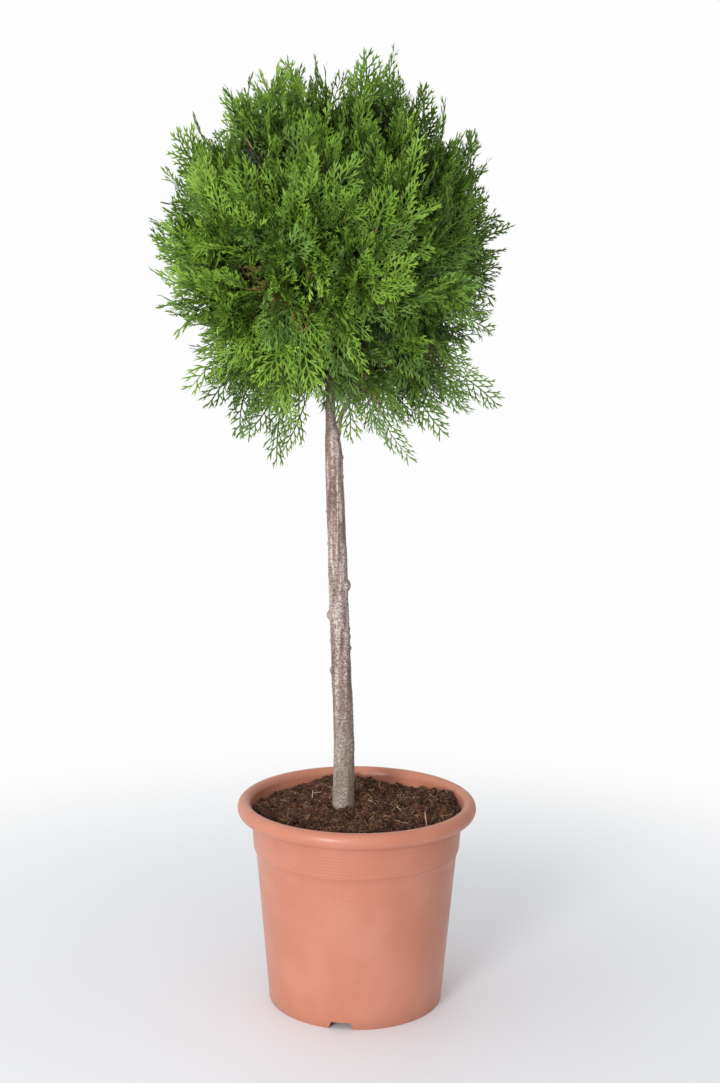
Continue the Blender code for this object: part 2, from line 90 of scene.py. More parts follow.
def settle(piece: Piece) -> None:
    """Puts the piece's place into its mesh, so that its object sits at the origin."""
    make_active(piece)
    bpy.ops.object.transform_apply(location=True, rotation=True, scale=True)


def dress(piece: Piece, material: bpy.types.Material) -> None:
    """Gives the whole piece one material."""
    piece.data.materials.clear()
    piece.data.materials.append(material)


def hand_over(piece: Piece, slot: str, *nodes: str) -> None:
    """Registers a piece with the frame.

    Args:
        piece: the finished object, at the origin.
        slot: the material slot that it belongs to, which is logged.
        nodes: the solids that it stands for.
    """
    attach(piece, "root")
    if nodes:
        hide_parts(*nodes)
    LOG.info("%s: %d faces, slot %s", piece.name, len(piece.data.polygons), slot)


def points_of(piece: Piece) -> Array:
    """The piece's vertices as an array of one row each.

    Args:
        piece: the object.

    Returns:
        Its places, (points, 3).
    """
    flat = np.empty(len(piece.data.vertices) * 3)
    piece.data.vertices.foreach_get("co", flat)
    return flat.reshape(-1, 3)


def move_points(piece: Piece, places: Array) -> None:
    """Puts the piece's vertices at new places."""
    piece.data.vertices.foreach_set("co", places.astype(np.float32).ravel())
    piece.data.update()


def noise_at(places: Array, scale: float, shift: float = 0.0) -> Array:
    """Smooth noise from -1 to 1 at each place.

    Args:
        places: one place a row, in metres.
        scale: waves per metre.
        shift: moves the pattern, so that two layers differ.

    Returns:
        One value for each place.
    """
    moved = places * scale + shift
    return np.array([noise.noise(Vector(row)) for row in moved])


class JoinedMesh:
    """Many small shapes gathered as arrays and made one object, cut where it grows too large."""

    MOST_FACES = 190_000

    def __init__(self, name: str) -> None:
        """Starts an empty mesh with this name.

        Args:
            name: what the object will be called.
        """
        self.name = name
        self.points: list[Array] = []
        self.faces: list[Array] = []
        self.count = 0

    def add(self, points: Array, faces: Array) -> None:
        """Adds copies of one shape.

        Args:
            points: (copies, points, 3) places, or (points, 3) for a single copy.
            faces: (faces, 3) corner numbers of one copy.
        """
        if points.ndim == 2:
            points = points[None]
        copies, each = points.shape[:2]
        starts = self.count + each * np.arange(copies)
        self.points.append(points.reshape(-1, 3))
        self.faces.append((faces[None] + starts[:, None, None]).reshape(-1, 3))
        self.count += copies * each

    def deliver(self, material: bpy.types.Material, slot: str, *nodes: str) -> None:
        """Makes one object, or several where the faces pass the limit, and registers each.

        Args:
            material: what each object gets.
            slot: the material slot, which is logged.
            nodes: the solids that the objects stand for.
        """
        if not self.faces:
            return
        points = np.concatenate(self.points)
        faces = np.concatenate(self.faces)
        parts = math.ceil(len(faces) / self.MOST_FACES)
        for number, share in enumerate(np.array_split(faces, parts)):
            used, renumbered = np.unique(share, return_inverse=True)
            name = self.name if parts == 1 else f"{self.name}_{number + 1}"
            mesh = bpy.data.meshes.new(name)
            mesh.from_pydata(points[used], [], renumbered.reshape(-1, 3))
            mesh.validate()
            piece = bpy.data.objects.new(name, mesh)
            bpy.context.scene.collection.objects.link(piece)
            dress(piece, material)
            hand_over(piece, slot, *nodes)


def tube_arrays(path: Array, radii: Array, sides: int) -> tuple[Array, Array]:
    """A tube of a few sides along a path, with closed ends.

    Args:
        path: (stations, 3) centres.
        radii: one radius for each station.
        sides: how many sides.

    Returns:
        Its points and its faces as triangles.
    """
    heading = np.gradient(path, axis=0)
    heading /= np.linalg.norm(heading, axis=1, keepdims=True) + 1e-12
    helper = np.where(np.abs(heading[:, 2:3]) > 0.9, [[1.0, 0, 0]], [[0, 0, 1.0]])
    side = np.cross(heading, helper)
    side /= np.linalg.norm(side, axis=1, keepdims=True) + 1e-12
    other = np.cross(heading, side)
    angle = np.arange(sides) * math.tau / sides
    ring = (np.cos(angle)[None, :, None] * side[:, None]
            + np.sin(angle)[None, :, None] * other[:, None])
    points = (path[:, None] + ring * radii[:, None, None]).reshape(-1, 3)
    faces = []
    for row in range(len(path) - 1):
        for corner in range(sides):
            a, b = row * sides + corner, row * sides + (corner + 1) % sides
            faces += [(a, b, b + sides), (a, b + sides, a + sides)]
    last = (len(path) - 1) * sides
    for corner in range(1, sides - 1):
        faces += [(0, corner + 1, corner), (last, last + corner, last + corner + 1)]
    return points, np.array(faces)


# ---------------- shader building


def linear(red: int, green: int, blue: int) -> Colour:
    """A colour in linear light from its screen values of 0 to 255.

    Args:
        red: 0 to 255.
        green: 0 to 255.
        blue: 0 to 255.

    Returns:
        The colour, with full alpha.
    """
    channels = []
    for value in (red, green, blue):
        share = value / 255
        low = share <= 0.04045
        channels.append(share / 12.92 if low else ((share + 0.055) / 1.055) ** 2.4)
    return (*channels, 1.0)


class Nodes:
    """Adds and wires the nodes of one tree."""

    def __init__(self, tree: bpy.types.NodeTree) -> None:
        """Works on this tree."""
        self.tree = tree

    def add(self, kind: str, **settings: object) -> bpy.types.Node:
        """A new node with its settings.

        Args:
            kind: the node's type.
            settings: its attributes, by name.

        Returns:
            The node.
        """
        node = self.tree.nodes.new(kind)
        for name, value in settings.items():
            setattr(node, name, value)
        return node

    def join(self, socket: Socket, value: object) -> None:
        """Links another node's output to an input socket, or sets the socket's own value.

        Args:
            socket: the input.
            value: another node's output, or a plain value.
        """
        if isinstance(value, Socket):
            self.tree.links.new(value, socket)
        else:
            socket.default_value = value

    def feed(self, node: bpy.types.Node, **inputs: object) -> None:
        """Links or sets a node's inputs, named with underscores for spaces."""
        for name, value in inputs.items():
            self.join(node.inputs[name.replace("_", " ")], value)

    def fed(self, kind: str, output: str, **inputs: object) -> Socket:
        """Adds a node, feeds it and gives one of its outputs.

        Args:
            kind: the node's type.
            output: the name of the output.
            inputs: what its inputs take.

        Returns:
            The output.
        """
        node = self.add(kind)
        self.feed(node, **inputs)
        return node.outputs[output]

    def place(self) -> Socket:
        """The object's own coordinates."""
        return self.add("ShaderNodeTexCoord").outputs["Object"]

    def noise(self, vector: Socket, scale: object, detail: object) -> Socket:
        """Noise from 0 to 1."""
        return self.fed("ShaderNodeTexNoise", "Fac", Vector=vector, Scale=scale, Detail=detail)

    def stretched(self, vector: Socket, scale: tuple[float, float, float]) -> Socket:
        """The coordinates scaled along each axis."""
        return self.fed("ShaderNodeMapping", "Vector", Vector=vector, Scale=scale)

    def ranged(self, value: Socket, low: object, high: object,
               to_low: float = 0.0, to_high: float = 1.0) -> Socket:
        """The value carried from one range to another with soft ends.

        Args:
            value: what is carried over.
            low: start of the first range.
            high: its end.
            to_low: start of the second range.
            to_high: its end.

        Returns:
            The value in the second range.
        """
        node = self.add("ShaderNodeMapRange", interpolation_type="SMOOTHSTEP")
        self.feed(node, Value=value, From_Min=low, From_Max=high, To_Min=to_low, To_Max=to_high)
        return node.outputs["Result"]

    def maths(self, operation: str, first: object, second: object) -> Socket:
        """One sum, product or other operation on two values.

        Args:
            operation: Blender's name for it.
            first: an output or a number.
            second: an output or a number.

        Returns:
            The result.
        """
        node = self.add("ShaderNodeMath", operation=operation)
        for socket, value in zip(node.inputs, (first, second)):
            self.join(socket, value)
        return node.outputs["Value"]

    def mix(self, share: object, first: object, second: object) -> Socket:
        """Two colours mixed by a share.

        Args:
            share: how much of the second.
            first: an output or a colour.
            second: an output or a colour.

        Returns:
            The mixed colour.
        """
        node = self.add("ShaderNodeMix", data_type="RGBA")
        for index, value in ((0, share), (6, first), (7, second)):
            self.join(node.inputs[index], value)
        return node.outputs[2]

    def tinted(self, colour: object, mask: Socket, share: object, tint: object) -> Socket:
        """A colour that takes on a share of a tint where the mask is 1."""
        return self.mix(self.maths("MULTIPLY", mask, share), colour, tint)

    def bump(self, height: Socket, strength: float, distance: float) -> Socket:
        """A normal that follows a height."""
        return self.fed("ShaderNodeBump", "Normal", Height=height, Strength=strength,
                        Distance=distance)


class Effect:
    """A shader node group that several finishes use, built once. It puts out one mask."""

    OUTPUT = "Mask"

    def __init__(self, name: str, inputs: dict[str, float]) -> None:
        """Makes the empty group with its sockets.

        Args:
            name: the group's name.
            inputs: the number inputs and their usual values; Vector is always the first.
        """
        self.group = bpy.data.node_groups.new(name, "ShaderNodeTree")
        face = self.group.interface
        face.new_socket("Vector", in_out="INPUT", socket_type="NodeSocketVector")
        for label, usual in inputs.items():
            socket = face.new_socket(label, in_out="INPUT", socket_type="NodeSocketFloat")
            socket.default_value = usual
        face.new_socket(self.OUTPUT, in_out="OUTPUT", socket_type="NodeSocketFloat")
        self.nodes = Nodes(self.group)
        self.entry = self.nodes.add("NodeGroupInput")
        self.exit = self.nodes.add("NodeGroupOutput")

    def finish(self, value: Socket) -> None:
        """Puts the value out."""
        self.group.links.new(value, self.exit.inputs[self.OUTPUT])

    def use(self, nodes: Nodes, vector: Socket, **values: float) -> Socket:
        """Places the group in a material's tree with its own values.

        Args:
            nodes: the material's nodes.
            vector: the coordinates.
            values: the group's other inputs.

        Returns:
            The mask.
        """
        node = nodes.add("ShaderNodeGroup", node_tree=self.group)
        nodes.feed(node, Vector=vector, **values)
        return node.outputs[self.OUTPUT]


def mottle_effect() -> Effect:
    """Soft patches: noise with its ends cut at Low and High.

    Returns:
        The group.
    """
    effect = Effect("mottle", {"Scale": 20.0, "Detail": 3.0, "Low": 0.4, "High": 0.6})
    nodes, entry = effect.nodes, effect.entry.outputs
    texture = nodes.noise(entry["Vector"], entry["Scale"], entry["Detail"])
    effect.finish(nodes.ranged(texture, entry["Low"], entry["High"]))
    return effect


def cross_band_effect() -> Effect:
    """Short level bands round an upright piece, as turning marks or the pores of bark.

    Returns:
        The group.
    """
    effect = Effect("cross bands", {"Rise": 400.0, "Length": 40.0, "Low": 0.5, "High": 0.65})
    nodes, entry = effect.nodes, effect.entry.outputs
    scale = nodes.fed("ShaderNodeCombineXYZ", "Vector", X=entry["Length"], Y=entry["Length"],
                      Z=entry["Rise"])
    squeezed = nodes.add("ShaderNodeVectorMath", operation="MULTIPLY")
    for socket, value in zip(squeezed.inputs, (entry["Vector"], scale)):
        nodes.join(socket, value)
    texture = nodes.noise(squeezed.outputs["Vector"], 1.0, 2.0)
    effect.finish(nodes.ranged(texture, entry["Low"], entry["High"]))
    return effect


def height_fade_effect() -> Effect:
    """1 below Bottom, 0 above Top, with a ragged edge: splashed soil and growth near a foot.

    Returns:
        The group.
    """
    effect = Effect("height fade", {"Bottom": 0.0, "Top": 0.1, "Ragged": 0.02})
    nodes, entry = effect.nodes, effect.entry.outputs
    plain = nodes.fed("ShaderNodeSeparateXYZ", "Z", Vector=entry["Vector"])
    texture = nodes.noise(entry["Vector"], 45.0, 4.0)
    shift = nodes.maths("MULTIPLY", nodes.maths("SUBTRACT", texture, 0.5), entry["Ragged"])
    height = nodes.maths("ADD", plain, shift)
    effect.finish(nodes.ranged(height, entry["Bottom"], entry["Top"], 1.0, 0.0))
    return effect


MOTTLE = mottle_effect()
CROSS_BANDS = cross_band_effect()
HEIGHT_FADE = height_fade_effect()


def new_material(name: str, roughness: float, specular: float) -> tuple[
        bpy.types.Material, Nodes, bpy.types.Node]:
    """A material with a Principled shader.

    Args:
        name: the material's name.
        roughness: set on the shader's own socket.
        specular: the shader's specular level.

    Returns:
        The material, its nodes, and the shader.
    """
    material = bpy.data.materials.new(name)
    material.use_nodes = True
    shader = material.node_tree.nodes["Principled BSDF"]
    shader.inputs["Roughness"].default_value = roughness
    shader.inputs["Specular IOR Level"].default_value = specular
    return material, Nodes(material.node_tree), shader


# ---------------- finishes


@dataclass(frozen=True)
class PlasticFinish:
    """Satin moulded plastic of the pot, coloured through."""

    colour: Colour = linear(189, 121, 95)
    faded: Colour = linear(196, 131, 108)
    soiled: Colour = linear(150, 103, 80)

    def material(self) -> bpy.types.Material:
        """Builds the shader: slight fading, moulding marks, soil specks low down.

        Returns:
            The material.
        """
        material, nodes, shader = new_material("pot_plastic", 0.40, 0.45)
        place = nodes.place()
        faded = MOTTLE.use(nodes, place, Scale=14.0, Detail=4.0, Low=0.35, High=0.7)
        colour = nodes.mix(faded, self.colour, self.faded)
        streaks = CROSS_BANDS.use(nodes, place, Rise=12.0, Length=130.0, Low=0.5, High=0.75)
        colour = nodes.tinted(colour, streaks, 0.25, self.faded)
        foot = HEIGHT_FADE.use(nodes, place, Bottom=-0.01, Top=0.035, Ragged=0.05)
        specks = MOTTLE.use(nodes, place, Scale=240.0, Detail=2.0, Low=0.70, High=0.76)
        colour = nodes.tinted(colour, foot, 0.25, self.soiled)
        colour = nodes.tinted(colour, specks, 0.30, self.soiled)
        rings = CROSS_BANDS.use(nodes, place, Rise=330.0, Length=4.0, Low=0.35, High=0.65)
        grain = nodes.noise(place, 900.0, 2.0)
        height = nodes.maths("ADD", nodes.maths("MULTIPLY", rings, 0.5),
                             nodes.maths("MULTIPLY", grain, 0.25))
        sheen = nodes.ranged(nodes.noise(place, 30.0, 4.0), 0.3, 0.7, 0.30, 0.44)
        nodes.feed(shader, Base_Color=colour, Roughness=sheen,
                   Normal=nodes.bump(height, 0.30, 0.0005))
        return material


@dataclass(frozen=True)
class SoilFinish:
    """Damp potting mix."""

    name: str
    dark: Colour
    light: Colour
    grain: float = 320.0

    def material(self) -> bpy.types.Material:
        """Builds the shader: two browns in fine grains, dull.

        Returns:
            The material.
        """
        material, nodes, shader = new_material(self.name, 0.92, 0.2)
        place = nodes.place()
        coarse = MOTTLE.use(nodes, place, Scale=60.0, Detail=5.0, Low=0.35, High=0.68)
        fine = MOTTLE.use(nodes, place, Scale=self.grain, Detail=4.0, Low=0.4, High=0.66)
        share = nodes.maths("MULTIPLY", nodes.maths("ADD", coarse, fine), 0.5)
        height = nodes.noise(place, 2 * self.grain, 4.0)
        nodes.feed(shader, Base_Color=nodes.mix(share, self.dark, self.light),
                   Normal=nodes.bump(height, 0.6, 0.001))
        return material


@dataclass(frozen=True)
class BarkFinish:
    """Thin young bark: grey-pink with brown cross bands, pale scales, and green at its foot; its
    pale upright streaks higher up are partly real and partly a painted highlight.
    """

    grey: Colour = linear(198, 184, 178)
    rose: Colour = linear(150, 122, 114)
    brown: Colour = linear(92, 68, 58)
    pale: Colour = linear(222, 213, 207)
    algae: Colour = linear(140, 132, 112)
    dark: Colour = linear(84, 60, 50)
    crown_foot: float = 0.70

    def material(self) -> bpy.types.Material:
        """Builds the shader, with its growth near the soil, pale streaks that are partly a
        painted highlight on the upper trunk, and darker limbs in the crown.

        Returns:
            The material.
        """
        material, nodes, shader = new_material("bark", 0.55, 0.5)
        place = nodes.place()
        upright = nodes.stretched(place, (1.0, 1.0, 0.07))
        bands = MOTTLE.use(nodes, upright, Scale=150.0, Detail=3.0, Low=0.42, High=0.58)
        colour = nodes.mix(bands, self.grey, self.rose)
        low = HEIGHT_FADE.use(nodes, place, Bottom=0.36, Top=0.58, Ragged=0.10)
        # pale upright streaks, strongest above the foot: partly bark streaks, partly a painted
        # highlight band on the upper trunk
        streaks = MOTTLE.use(nodes, upright, Scale=230.0, Detail=2.0, Low=0.54, High=0.66)
        streak_and_painted_highlight_share = nodes.ranged(low, 0.0, 1.0, 0.80, 0.20)
        colour = nodes.tinted(colour, streaks, streak_and_painted_highlight_share, self.pale)
        tall = nodes.stretched(place, (1.0, 1.0, 0.22))
        patches = MOTTLE.use(nodes, tall, Scale=95.0, Detail=4.0, Low=0.47, High=0.62)
        colour = nodes.tinted(colour, patches, 0.62, self.brown)
        grain = MOTTLE.use(nodes, place, Scale=430.0, Detail=3.0, Low=0.47, High=0.60)
        speckled = nodes.ranged(low, 0.0, 1.0, 0.36, 0.74)
        colour = nodes.tinted(colour, grain, speckled, self.brown)
        scales = CROSS_BANDS.use(nodes, place, Rise=400.0, Length=300.0, Low=0.58, High=0.66)
        colour = nodes.tinted(colour, scales, 0.30, self.pale)
        pores = CROSS_BANDS.use(nodes, place, Rise=560.0, Length=260.0, Low=0.54, High=0.61)
        colour = nodes.tinted(colour, pores, 0.60, self.brown)
        foot = HEIGHT_FADE.use(nodes, place, Bottom=0.26, Top=0.42, Ragged=0.08)
        colour = nodes.tinted(colour, foot, 0.45, self.algae)
        below = HEIGHT_FADE.use(nodes, place, Bottom=self.crown_foot,
                                Top=self.crown_foot + 0.05, Ragged=0.02)
        colour = nodes.mix(below, self.dark, colour)
        height = nodes.maths("SUBTRACT", nodes.maths("MULTIPLY", scales, 0.5),
                             nodes.maths("ADD", pores, nodes.maths("MULTIPLY", grain, 0.4)))
        sheen = nodes.ranged(grain, 0.0, 1.0, 0.30, 0.56)
        nodes.feed(shader, Base_Color=colour, Roughness=sheen,
                   Normal=nodes.bump(height, 0.5, 0.0005))
        return material


@dataclass(frozen=True)
class WoodyFinish:
    """Plain young wood of the finer twigs."""

    name: str
    colour: Colour
    worn: Colour

    def material(self) -> bpy.types.Material:
        """Builds the shader: two browns along the twig.

        Returns:
            The material.
        """
        material, nodes, shader = new_material(self.name, 0.7, 0.25)
        place = nodes.place()
        share = MOTTLE.use(nodes, place, Scale=90.0, Detail=3.0, Low=0.4, High=0.62)
        nodes.feed(shader, Base_Color=nodes.mix(share, self.colour, self.worn))
        return material


@dataclass(frozen=True)
class LeafFinish:
    """Scale leaves pressed flat on their branchlets, in one tint."""

    name: str
    colour: Colour
    deep_share: float = 0.72

    def material(self) -> bpy.types.Material:
        """Builds the shader: a soft shift over the crown and the small scales' relief.

        Returns:
            The material.
        """
        material, nodes, shader = new_material(self.name, 0.56, 0.3)
        place = nodes.place()
        deep = tuple(self.deep_share * channel for channel in self.colour[:3]) + (1.0,)
        soft = MOTTLE.use(nodes, place, Scale=38.0, Detail=3.0, Low=0.35, High=0.65)
        scales = MOTTLE.use(nodes, place, Scale=620.0, Detail=1.0, Low=0.3, High=0.7)
        share = nodes.maths("ADD", nodes.maths("MULTIPLY", soft, 0.45),
                            nodes.maths("MULTIPLY", scales, 0.55))
        nodes.feed(shader, Base_Color=nodes.mix(share, deep, self.colour),
                   Normal=nodes.bump(scales, 0.4, 0.0004))
        return material


class Tint(Enum):
    """The greens that are dealt out by spray, from the dark inside, partly painted shade, to the
    fresh tips.
    """

    # the darkest green, for the crown's inside: partly older foliage, partly painted shade
    INNER = LeafFinish("leaf_inner", linear(42, 60, 24))
    DEEP = LeafFinish("leaf_deep", linear(86, 118, 40))
    COOL = LeafFinish("leaf_cool", linear(108, 142, 72))
    GREEN = LeafFinish("leaf_green", linear(114, 150, 48))
    BRIGHT = LeafFinish("leaf_bright", linear(128, 168, 54))
    FRESH = LeafFinish("leaf_fresh", linear(150, 184, 74))
    DRY = LeafFinish("leaf_dry", linear(140, 104, 64))


# ---------------- pot and soil


@dataclass
class Lathe:
    """Turns a profile of (radius, height) points into a closed shell with edit operators."""

    segments: int

    def turn(self, name: str, profile: Profile) -> Piece:
        """Starts from a disc at the first point, draws the ring along, and closes it.

        Args:
            name: the new object's name.
            profile: the points, from the middle of one face to the middle of the other.

        Returns:
            The turned object.
        """
        deselect_all()
        radius, height = profile[0]
        bpy.ops.mesh.primitive_circle_add(vertices=self.segments, radius=radius,
                                          fill_type="NGON", location=(0, 0, height))
        piece = bpy.context.object
        piece.name = piece.data.name = name
        settle(piece)
        bpy.ops.object.mode_set(mode="EDIT")
        bpy.ops.mesh.select_mode(type="EDGE")
        bpy.ops.mesh.select_all(action="SELECT")
        for (old, low), (new, high) in zip(profile, profile[1:]):
            bpy.ops.mesh.extrude_edges_move(
                TRANSFORM_OT_translate={"value": (0, 0, high - low)})
            scale = new / old
            bpy.ops.transform.resize(value=(scale, scale, 1), center_override=(0, 0, high))
        bpy.ops.mesh.edge_face_add()
        bpy.ops.mesh.select_all(action="SELECT")
        bpy.ops.mesh.normals_make_consistent(inside=False)
        bpy.ops.object.mode_set(mode="OBJECT")
        return piece


@dataclass
class Pot:
    """The moulded container: foot ring with notches, collar with a step, rolled rim."""

    foot_radius: float = 0.1018
    foot_width: float = 0.0034
    body_top: tuple[float, float] = (0.1172, 0.1756)
    collar_foot: tuple[float, float] = (0.1204, 0.1840)
    collar_top: tuple[float, float] = (0.1230, 0.2195)
    foot_edge: tuple = ((-0.0008, 0.0), (0.0, 0.0009))
    plain_heights: tuple[float, float] = (0.012, 0.132)
    plain_rows: int = 8
    body_edge: tuple = ((-0.0001, -0.0006), (0.0006, 0.0012))
    collar_edge: tuple = ((-0.0014, -0.0020), (-0.0010, -0.0014), (-0.0013, -0.0008),
                          (-0.0002, -0.0003), (0.0, 0.0008))
    collar_crease: tuple = ((0.0, -0.0012), (0.0014, 0.0014))
    wall: float = 0.0022
    middle: float = 0.004
    rim_centre: tuple[float, float] = (0.1315, 0.2310)
    rim_half_width: float = 0.0080
    rim_half_height: float = 0.0095
    rim_sweep: tuple[float, float] = (-128, 188)
    rim_points: int = 28
    pad_radius: float = 0.058
    pad_slant: float = 0.002
    recess: float = 0.0095
    floor: float = 0.0025
    notch_count: int = 3
    notch_height: float = 0.0085
    notch_below: float = 0.004
    notch_depth: float = 0.020
    notch_widths: tuple[float, float] = (0.030, 0.0225)
    notch_azimuth: float = math.radians(-99)
    drain_count: int = 6
    drain_radius: float = 0.006
    drain_ring: float = 0.078
    ridge_margin: float = 0.003
    ridge_pitch: float = 0.0038
    ridge_rise: float = 0.00015
    segments: int = 128
    smooth_below: float = math.radians(38)
    finish: PlasticFinish = PlasticFinish()

    def ridged(self, low: tuple[float, float], high: tuple[float, float], fade: bool) -> Profile:
        """Fine turning ridges on a stretch of wall, fading downwards where asked.

        Args:
            low: the foot of the stretch.
            high: its top.
            fade: whether the ridges fade.

        Returns:
            Points between the two, without them.
        """
        count = round(4 * (high[1] - low[1]) / self.ridge_pitch)
        rows = []
        for i in range(1, count):
            share = i / count
            radius = low[0] + share * (high[0] - low[0])
            height = low[1] + share * (high[1] - low[1])
            strength = self.ridge_rise * (share if fade else 1.0)
            rows.append((radius + strength * math.sin(i * math.pi / 2), height))
        return rows

    def inside(self) -> Profile:
        """The inner floor and wall, from near the axis outwards and up.

        Returns:
            Radii and heights.
        """
        pad = self.pad_radius - self.floor
        raised = self.recess + self.floor
        slope = (self.body_top[0] - self.foot_radius) / self.body_top[1]
        return [
            (pad, self.floor),
            (pad + self.pad_slant, raised),
            (self.foot_radius + slope * raised - self.wall, raised),
            (self.body_top[0] - self.wall, self.body_top[1]),
            (self.collar_foot[0] - self.wall, self.collar_foot[1]),
            (self.collar_top[0] - self.wall, self.collar_top[1]),
        ]

    def rim(self) -> Profile:
        """Points round the rolled rim, by angle from straight outwards.

        Returns:
            Radii and heights.
        """
        return [(self.rim_centre[0] + self.rim_half_width * math.cos(angle),
                 self.rim_centre[1] + self.rim_half_height * math.sin(angle))
                for angle in np.radians(np.linspace(*self.rim_sweep, self.rim_points))]

    def outside(self) -> Profile:
        """The outer wall from the foot up to the rim, with its soft steps.

        Returns:
            Radii and heights.
        """
        foot, top = self.foot_radius, self.body_top
        slope = (top[0] - foot) / top[1]
        rows = [(foot + out, up) for out, up in self.foot_edge]
        rows += [(foot + slope * z, z) for z in np.linspace(*self.plain_heights, self.plain_rows)]
        ridged_top = top[1] - self.ridge_margin
        rows += self.ridged(rows[-1], (foot + slope * ridged_top, ridged_top), True)
        rows += [(top[0] + out, top[1] + up) for out, up in self.body_edge]
        rows += [(self.collar_foot[0] + out, self.collar_foot[1] + up)
                 for out, up in self.collar_edge]
        crease, flare = ((self.collar_top[0] + out, self.collar_top[1] + up)
                         for out, up in self.collar_crease)
        return [*rows, *self.ridged(rows[-1], crease, False), crease, flare]

    def profile(self) -> Profile:
        """The whole shell, from the middle of the underside to the middle of the floor.

        Returns:
            Radii and heights.
        """
        ring = self.foot_radius - self.foot_width
        underside = [
            (self.middle, 0.0),
            (self.pad_radius, 0.0),
            (self.pad_radius + self.pad_slant, self.recess),
            (ring - 0.001, self.recess),
            (ring, 0.0006),
            (ring + 0.0006, 0.0),
        ]
        return [*underside, *self.outside(), *self.rim(),
                *reversed(self.inside()), (self.middle, self.floor)]

    def notch(self, azimuth: float) -> Piece:
        """A cutter for one notch through the foot: a box drawn in at its top.

        Args:
            azimuth: where it stands, in radians.

        Returns:
            The cutter.
        """
        deselect_all()
        foot, top = self.notch_widths
        below = self.notch_below
        height = self.notch_height + below
        bpy.ops.mesh.primitive_cube_add(size=1, location=(0, 0, 0))
        cutter = bpy.context.object
        points = points_of(cutter)
        widths = np.where(points[:, 2] > 0, top, foot + (foot - top) * below / height)
        places = np.stack([
            self.foot_radius + points[:, 0] * self.notch_depth,
            points[:, 1] * widths,
            np.where(points[:, 2] > 0, self.notch_height, -below),
        ], axis=1)
        move_points(cutter, places)
        cutter.data.transform(Matrix.Rotation(azimuth, 4, "Z"))
        return cutter

    def drain(self, azimuth: float) -> Piece:
        """A cutter for one drain hole through the floor.

        Args:
            azimuth: where it stands, in radians.

        Returns:
            The cutter.
        """
        deselect_all()
        place = (self.drain_ring * math.cos(azimuth), self.drain_ring * math.sin(azimuth),
                 self.recess + self.floor / 2)
        bpy.ops.mesh.primitive_cylinder_add(vertices=24, radius=self.drain_radius,
                                            depth=4 * self.floor, location=place)
        return bpy.context.object

    def cut(self, pot: Piece) -> None:
        """Cuts the notches and the drain holes, then removes their cutters.

        Args:
            pot: the turned shell.
        """
        turn = math.tau / self.notch_count
        cutters = [self.notch(self.notch_azimuth + i * turn) for i in range(self.notch_count)]
        step = math.tau / self.drain_count
        cutters += [self.drain(self.notch_azimuth + (i + 0.5) * step)
                    for i in range(self.drain_count)]
        for cutter in cutters:
            bite = pot.modifiers.new("bite", "BOOLEAN")
            bite.operation = "DIFFERENCE"
            bite.object = cutter
            bite.solver = "EXACT"
            apply_modifier(pot, "bite")
            bpy.data.objects.remove(cutter, do_unlink=True)

    def build(self) -> None:
        """Turns, cuts, softens and dresses the pot."""
        pot = Lathe(self.segments).turn("pot_shell", self.profile())
        self.cut(pot)
        make_active(pot)
        bpy.ops.object.shade_smooth_by_angle(angle=self.smooth_below)
        dress(pot, self.finish.material())
        hand_over(pot, "pot", "pot")


@dataclass(frozen=True)
class Crumbs:
    """A sort of small angular crumbs: how many, and the greatest radius."""

    name: str
    count: int
    largest: float
    finish: SoilFinish


@dataclass(frozen=True)
class Strands:
    """A sort of curved strands: how many, how long, how thick, how bent and how far off."""

    name: str
    count: int
    length: tuple[float, float]
    radius: float
    curl: float
    rise: float
    finish: SoilFinish


